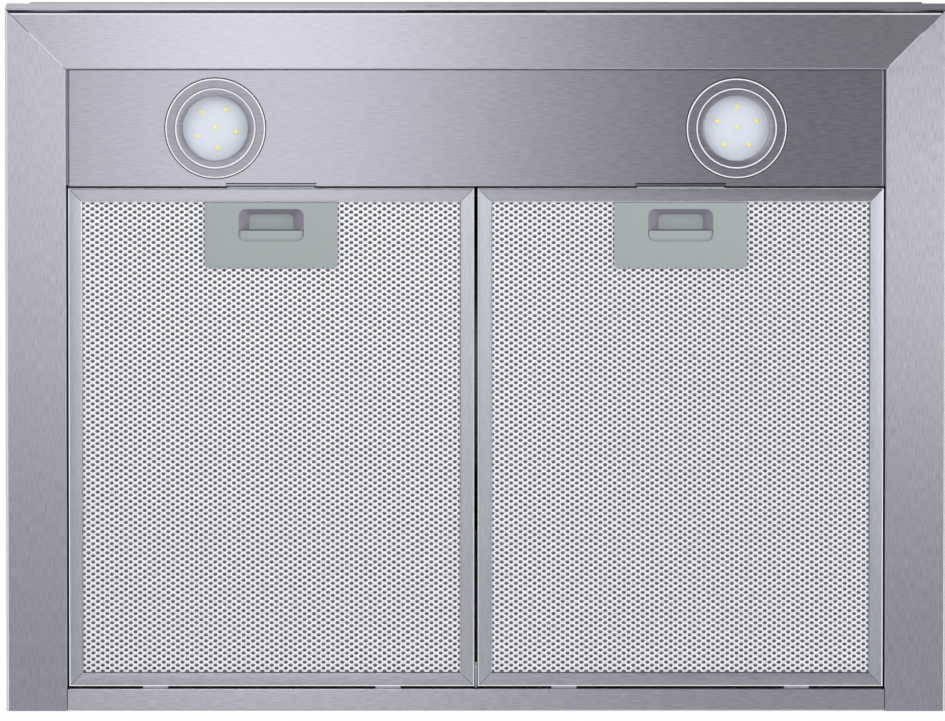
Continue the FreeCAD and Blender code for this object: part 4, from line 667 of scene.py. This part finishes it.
def latch_plate(side):
    """The moulded plate and box of one latch, with the hollow and the ledge's slot cut out."""
    low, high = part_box(f"latch_plate_{side}")
    middle = (low.x + high.x) / 2
    front = low.y + WALL
    ledge = front + WELL_LENGTH
    rear = front + HOLLOW_LENGTH
    left, right = middle - HOLLOW_HALF, middle + HOLLOW_HALF
    plate_rear = low.y + LATCH_DEPTH
    plate = block(f"latch_cover_{side}", low, (high.x, plate_rear, low.z + LATCH_SKIN))
    round_corners(plate_rear, LATCH_CORNER)
    modify(plate, "BEVEL", width=0.25 * MM, segments=2, limit_method="ANGLE",
           angle_limit=math.radians(50))
    box = block(f"latch_box_{side}", (middle - BOX_HALF, low.y, low.z + LATCH_SKIN),
                (middle + BOX_HALF, high.y, high.z))
    join(plate, box)
    deep = block("hollow", (left, front, low.z - 0.02 * MM), (right, ledge, low.z + HOLLOW_DEPTH))
    round_corners(front, HOLLOW_CORNER)
    pick(lambda centre, normal: normal.z > 0.9)
    bpy.ops.transform.resize(value=(TAPER[0], 1, 1), center_override=(middle, ledge, 0))
    bpy.ops.transform.resize(value=(1, TAPER[1], 1), center_override=(middle, ledge, 0))
    # The hollow's walls take the darker violet plastic as painted shade and reflection; its floor keeps the
    # latch colour.
    deep.data.materials.append(hollow_painted_shade_plastic)
    deep.data.materials.append(latch_plastic)
    deep.active_material_index = 1
    bpy.ops.object.material_slot_assign()
    window = block("window", (left, ledge - 0.01 * MM, low.z - MM), (right, rear, low.z + 1.2 * MM))
    round_corners(rear, HOLLOW_CORNER)
    bay = block("bay", (left, ledge, low.z + BAY[0]), (right, rear + BAY[2], low.z + BAY[1]))
    clear()
    plate.data.materials.append(latch_plastic)
    for tool in (window, bay):
        tool.data.materials.append(latch_plastic)
    for tool in (deep, window, bay):
        modify(plate, "BOOLEAN", object=tool, operation="DIFFERENCE", solver="EXACT",
               material_mode="TRANSFER")
        bpy.data.objects.remove(tool)
    fit(plate, latch_plastic, "latch_plastic", f"filter_{side}", f"latch_plate_{side}", smooth=35)


for side in SIDES:
    latch_plate(side)

# %% [markdown]
# ## Lamps
# Each lamp is a turned steel ring with burnished edges, whose near-white colour is a painted
# highlight, around a clear lens, on a thin black seal that also stands for the shade in the gap
# round the ring: painted shade.
# Behind the lens lies a white board with six light-emitting chips: five in a circle and one in
# the middle. The two lamps are turned differently, as in the photograph.

# %% Lamp rings, lenses and boards
CHIP_TURN = {"left": 60.4, "right": 90.0}    # where the first chip stands, in degrees
CHIPS_AROUND = 5
CHIP_CIRCLE = 13.3 * MM
CHIP_SIZE = (2.8 * MM, 2.4 * MM, 0.7 * MM)
CHIP_LEVEL = 7.75 * MM


def lamp(side):
    """The ring, seal, lens and board of one lamp."""
    low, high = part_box(f"lamp_bezel_{side}")
    centre = Vector(((low.x + high.x) / 2, (low.y + high.y) / 2, 0))
    ring = turned(f"lamp_ring_{side}", [
        (31.8, 1.5), (31.8, 0.85), (31.0, 0.2), (26.3, 0.2), (26.15, 0.8), (25.75, 0.8), (25.6, 0.3),
        (24.8, 0.9), (21.5, 1.0), (21.0, 1.15), (20.75, 1.5), (20.75, 2.8), (21.6, 2.8), (21.6, 8.0),
        (28.4, 8.0), (28.4, 1.5), (31.8, 1.5)], 128, centre)
    ring.data.materials.append(bezel_steel)
    # The ring's slanting faces get the near-white edge finish: a painted highlight.
    burnish_with_highlight(ring)
    fit(ring, bezel_steel, "bezel_steel", "hood", f"lamp_bezel_{side}", smooth=25)
    # The black seal ring round the lamp ring is a seal, and also painted shade for the dark gap there.
    seal = turned(f"lamp_seal_gap_shade_{side}", [
        (32.5, 1.5), (32.5, 1.2), (32.3, 1.0), (31.9, 1.0), (31.9, 1.5), (32.5, 1.5)], 96, centre)
    fit(seal, seal_rubber_gap_shade, "switch_plastic", "hood", f"lamp_bezel_{side}", smooth=35)
    lens = turned(f"lamp_cover_{side}", [
        (4.0, 2.3), (12.0, 2.34), (18.0, 2.44), (20.4, 2.6), (20.55, 2.8), (21.4, 2.8), (21.4, 4.8),
        (20.8, 4.9), (4.0, 4.9)], 96, centre)
    clear_plastic = prismatic(f"clear polycarbonate lens {side}", centre)
    fit(lens, clear_plastic, "lens_plastic", "hood", f"lamp_lens_{side}", smooth=40)
    board = turned(f"lamp_disc_{side}", [(26.0, 8.0), (26.0, 9.2)], 64, centre)
    board.data.materials.append(board_white)
    chips = []
    for index in range(CHIPS_AROUND + 1):
        turn = -math.radians(CHIP_TURN[side] + 360 / CHIPS_AROUND * index)
        radius = CHIP_CIRCLE if index < CHIPS_AROUND else 0
        spot = centre + Vector((math.cos(turn), math.sin(turn), 0)) * radius
        spot.z = CHIP_LEVEL
        clear()
        bpy.ops.mesh.primitive_cube_add(size=1, location=spot, rotation=(0, 0, turn))
        bpy.context.object.scale = CHIP_SIZE
        chip = begin(f"chip_{index}")
        pick(lambda centre, normal: normal.z < -0.9)
        bpy.ops.mesh.inset(thickness=0.25 * MM)
        bpy.ops.transform.translate(value=(0, 0, -0.1 * MM))
        clear()
        chip.data.materials.append(chip_yellow)
        chips.append(chip)
    join(board, *chips)
    fit(board, board_white, "led_board", "hood", f"lamp_board_{side}")


for side in SIDES:
    lamp(side)

# %% [markdown]
# ## Push buttons
# The four buttons are small metallised caps in the lip. A fingertip finds them by their dished
# faces, so each is turned about its own axis with a rounded rim and a shallow dish.

# %% Push buttons
BUTTONS = {                      # node: body
    "light_button": "button_light",
    "low_speed_button": "button_low",
    "mid_speed_button": "button_mid",
    "high_speed_button": "button_high",
}


def button_cap(node, body):
    """A turned cap with a rounded rim and a dished face."""
    low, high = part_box(node)
    radius = (high.z - low.z) / 2 / MM
    front, back = low.y / MM, high.y / MM
    centre = Vector(((low.x + high.x) / 2, 0, (low.z + high.z) / 2))
    cap = turned(f"{node}_cap", [
        (radius, back), (radius, front + 0.6), (radius - 0.15, front + 0.2), (radius - 0.5, front),
        (radius - 0.9, front + 0.03), (radius - 1.6, front + 0.25), (radius - 3.0, front + 0.42)],
        48, centre, "Y")
    fit(cap, satin_cap, "button_metal", body, node, smooth=40)


for node, body in BUTTONS.items():
    button_cap(node, body)

# %% [markdown]
# ## Junction box lid
# The lid is moulded with a raised border and a screw at each corner. Its sunk middle comes from an
# inset, and each screw head is turned, with a slot pressed across it.

# %% Junction box lid
SCREW_INSET = 5 * MM             # from the lid's edges to the middle of a screw
SLOT_HALF = 0.35 * MM


def junction_cover():
    """The lid of the mains box, and its four slotted screws as one piece."""
    low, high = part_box("junction_lid")
    cover = block("junction_cover", low, high)
    pick(lambda centre, normal: normal.z > 0.9)
    bpy.ops.mesh.inset(thickness=9 * MM)
    bpy.ops.mesh.inset(thickness=0.6 * MM)
    bpy.ops.transform.translate(value=(0, 0, -0.7 * MM))
    modify(cover, "BEVEL", width=0.8 * MM, segments=3, limit_method="ANGLE",
           angle_limit=math.radians(60))
    fit(cover, grey_plastic, "junction_plastic", "hood", "junction_lid", smooth=35)
    corners = [(x, y) for x in (low.x + SCREW_INSET, high.x - SCREW_INSET)
               for y in (low.y + SCREW_INSET, high.y - SCREW_INSET)]
    top = high.z / MM
    heads = []
    for x, y in corners:
        head = turned("lid_screw", [(2.6, top - 0.8), (2.6, top - 0.25), (2.3, top)], 24,
                      Vector((x, y, 0)))
        slot = block("slot", (x - 3 * MM, y - SLOT_HALF, high.z - 0.5 * MM),
                     (x + 3 * MM, y + SLOT_HALF, high.z + MM))
        modify(head, "BOOLEAN", object=slot, operation="DIFFERENCE", solver="EXACT")
        bpy.data.objects.remove(slot)
        heads.append(head)
    join(*heads)
    fit(heads[0], bright_zinc, "screw_zinc", "hood", "junction_lid")


junction_cover()

# %% [markdown]
# ## Light
# The photograph was lit by one broad soft light below the front, left of the middle, so the
# brushed steel goes from bright to dark. A card below that glows in three soft patches stands for
# it, and a second card in front stands for the dim room that the lip mirrors. Only reflections see
# the cards. Soft area lights and an even surrounding do the rest.

# %% World, floor, cards and lamps
AMBIENT = 0.55                   # how strongly the surroundings light a matt surface
FLOOR = (200, -30)               # its width and its level in metres, far below everything


def surround(tree, strength):
    """White for the eye and for mirrors, and a plain level of light for everything else."""
    path = add(tree, "ShaderNodeLightPath")
    seen = add(tree, "ShaderNodeMath", operation="MAXIMUM",
               links={0: path.outputs["Is Camera Ray"], 1: path.outputs["Is Glossy Ray"]})
    seen = add(tree, "ShaderNodeMath", operation="MAXIMUM",
               links={0: seen.outputs[0], 1: path.outputs["Is Transmission Ray"]})
    return add(tree, "ShaderNodeMapRange", inputs={"To Min": strength, "To Max": 1},
               links={"Value": seen.outputs[0]}).outputs["Result"]


world = bpy.data.worlds.new("studio")
bpy.context.scene.world = world
world.use_nodes = True
background = world.node_tree.nodes["Background"]
background.inputs["Color"].default_value = (1, 1, 1, 1)
world.node_tree.links.new(surround(world.node_tree, AMBIENT), background.inputs["Strength"])

clear()
bpy.ops.mesh.primitive_plane_add(size=FLOOR[0], location=(0, 0, FLOOR[1]))
floor = bpy.context.object
floor.name = "floor"
floor_paint, tree, _ = finish("pale floor")
glow = add(tree, "ShaderNodeEmission", inputs={"Color": (1, 1, 1, 1)})
tree.links.new(surround(tree, AMBIENT), glow.inputs["Strength"])
tree.links.new(glow.outputs["Emission"], tree.nodes["Material Output"].inputs["Surface"])
floor.data.materials.append(floor_paint)
floor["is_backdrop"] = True

# Place, width, depth and base glow of each card, then (x, y, half width, half depth, strength) of
# its soft patches. Lengths are in metres.
CARDS = {
    "light_card": ((0, 0, -0.9), 3.2, 3.2, 0.04, [
        (-0.15, -0.15, 0.195, 0.31, 2.11), (-0.05, 0.82, 1.10, 0.70, 0.50), (0.72, -0.02, 0.17, 0.17, 4.67)]),
    "upper_card": ((0, -0.55, 0.38), 1.8, 0.7, 0.06, [(-0.17, 0, 0.28, 9.0, 0.72)]),
}


def soft_card(name, place, width, depth, base, patches):
    """A card that only reflections see. It glows most at its patches, and softly less around them."""
    clear()
    bpy.ops.mesh.primitive_plane_add(size=1, location=place)
    card = bpy.context.object
    card.name = name
    card.scale = (width, depth, 1)
    bpy.ops.object.transform_apply(location=True, scale=True)
    glow, tree, _ = finish(name.replace("_", " "))
    grid = add(tree, "ShaderNodeTexCoord")
    total = add(tree, "ShaderNodeValue")
    total.outputs[0].default_value = base
    for x, y, half_width, half_depth, strength in patches:
        offset = add(tree, "ShaderNodeMapping", vector_type="TEXTURE",
                     links={"Vector": grid.outputs["Object"]},
                     inputs={"Location": (x, y, 0), "Scale": (half_width, half_depth, 1)})
        flat = add(tree, "ShaderNodeVectorMath", operation="MULTIPLY", inputs={1: (1, 1, 0)},
                   links={0: offset.outputs["Vector"]})
        square = add(tree, "ShaderNodeVectorMath", operation="DOT_PRODUCT",
                     links={0: flat.outputs["Vector"], 1: flat.outputs["Vector"]})
        fall = add(tree, "ShaderNodeMath", operation="MULTIPLY", inputs={1: -1},
                   links={0: square.outputs["Value"]})
        bell = add(tree, "ShaderNodeMath", operation="EXPONENT", links={0: fall.outputs[0]})
        total = add(tree, "ShaderNodeMath", operation="MULTIPLY_ADD", inputs={1: strength},
                    links={0: bell.outputs[0], 2: total.outputs[0]})
    light = add(tree, "ShaderNodeEmission", inputs={"Color": (1, 1, 1, 1)},
                links={"Strength": total.outputs[0]})
    tree.links.new(light.outputs["Emission"], tree.nodes["Material Output"].inputs["Surface"])
    card.data.materials.append(glow)
    for ray in ("camera", "diffuse", "transmission", "volume_scatter", "shadow"):
        setattr(card, f"visible_{ray}", False)
    card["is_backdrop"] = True


for name, settings in CARDS.items():
    soft_card(name, *settings)

LAMPS = [                        # place in metres, width in metres and power in watts of each soft light
    ((-1.3, -1.4, -1.6), 1.2, 24),
    ((1.5, -0.9, -1.5), 1.2, 16),
    ((1.1, 1.5, -1.4), 1.2, 12),
    ((-0.6, -0.9, 2.0), 1.6, 26),
]
LAMP_AIM = Vector((0, 0, 0.1))
for index, (spot, width, power) in enumerate(LAMPS):
    lamp_data = bpy.data.lights.new(f"soft_light_{index}", "AREA")
    lamp_data.size = width
    lamp_data.energy = power
    soft = bpy.data.objects.new(lamp_data.name, lamp_data)
    bpy.context.scene.collection.objects.link(soft)
    soft.location = spot
    soft.rotation_euler = (LAMP_AIM - Vector(spot)).to_track_quat("-Z", "Y").to_euler()
    soft.visible_camera = False
print("light:", len(CARDS), "cards and", len(LAMPS), "soft lamps")

# %% [markdown]
# ## Camera
# The photograph looks straight up at the underside, from a little in front of it: the front lip
# shows as a narrow strip. Its edges are parallel, so the camera stands far off with a long lens.

# %% Camera
VIEW_ELEVATION = -84.6           # degrees: the camera looks up, 5.4 degrees off the vertical
DISTANCE = 10.0                  # metres
PHOTO_WIDTH = 945                # pixels
PIXEL = 0.6376 * MM              # one pixel of the photograph on the object
camera_data = bpy.data.cameras.new("camera")
camera_data.sensor_width = 36
camera_data.lens = camera_data.sensor_width * DISTANCE / (PHOTO_WIDTH * PIXEL)
camera_data.clip_end = 100
camera = bpy.data.objects.new("camera", camera_data)
bpy.context.scene.collection.objects.link(camera)
bpy.context.scene.camera = camera
tilt = math.radians(VIEW_ELEVATION)
back = Vector((0, -math.cos(tilt), math.sin(tilt)))
aim = Vector((-0.0022, 0.0, 0.0))
camera.location = aim + back * DISTANCE
camera.rotation_mode = "QUATERNION"
camera.rotation_quaternion = (-back).to_track_quat("-Z", "Y")
print("camera:", round(camera_data.lens), "mm lens at", DISTANCE, "m")

# %% [markdown]
# ## Sizes
# The dressed model must fill the same box as the construction, so its size is printed.

# %% Print the dressed size and finish
bpy.context.scene.view_settings.view_transform = "Standard"
low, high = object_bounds()
print("dressed size", [round(size / MM, 1) for size in high - low], "mm")
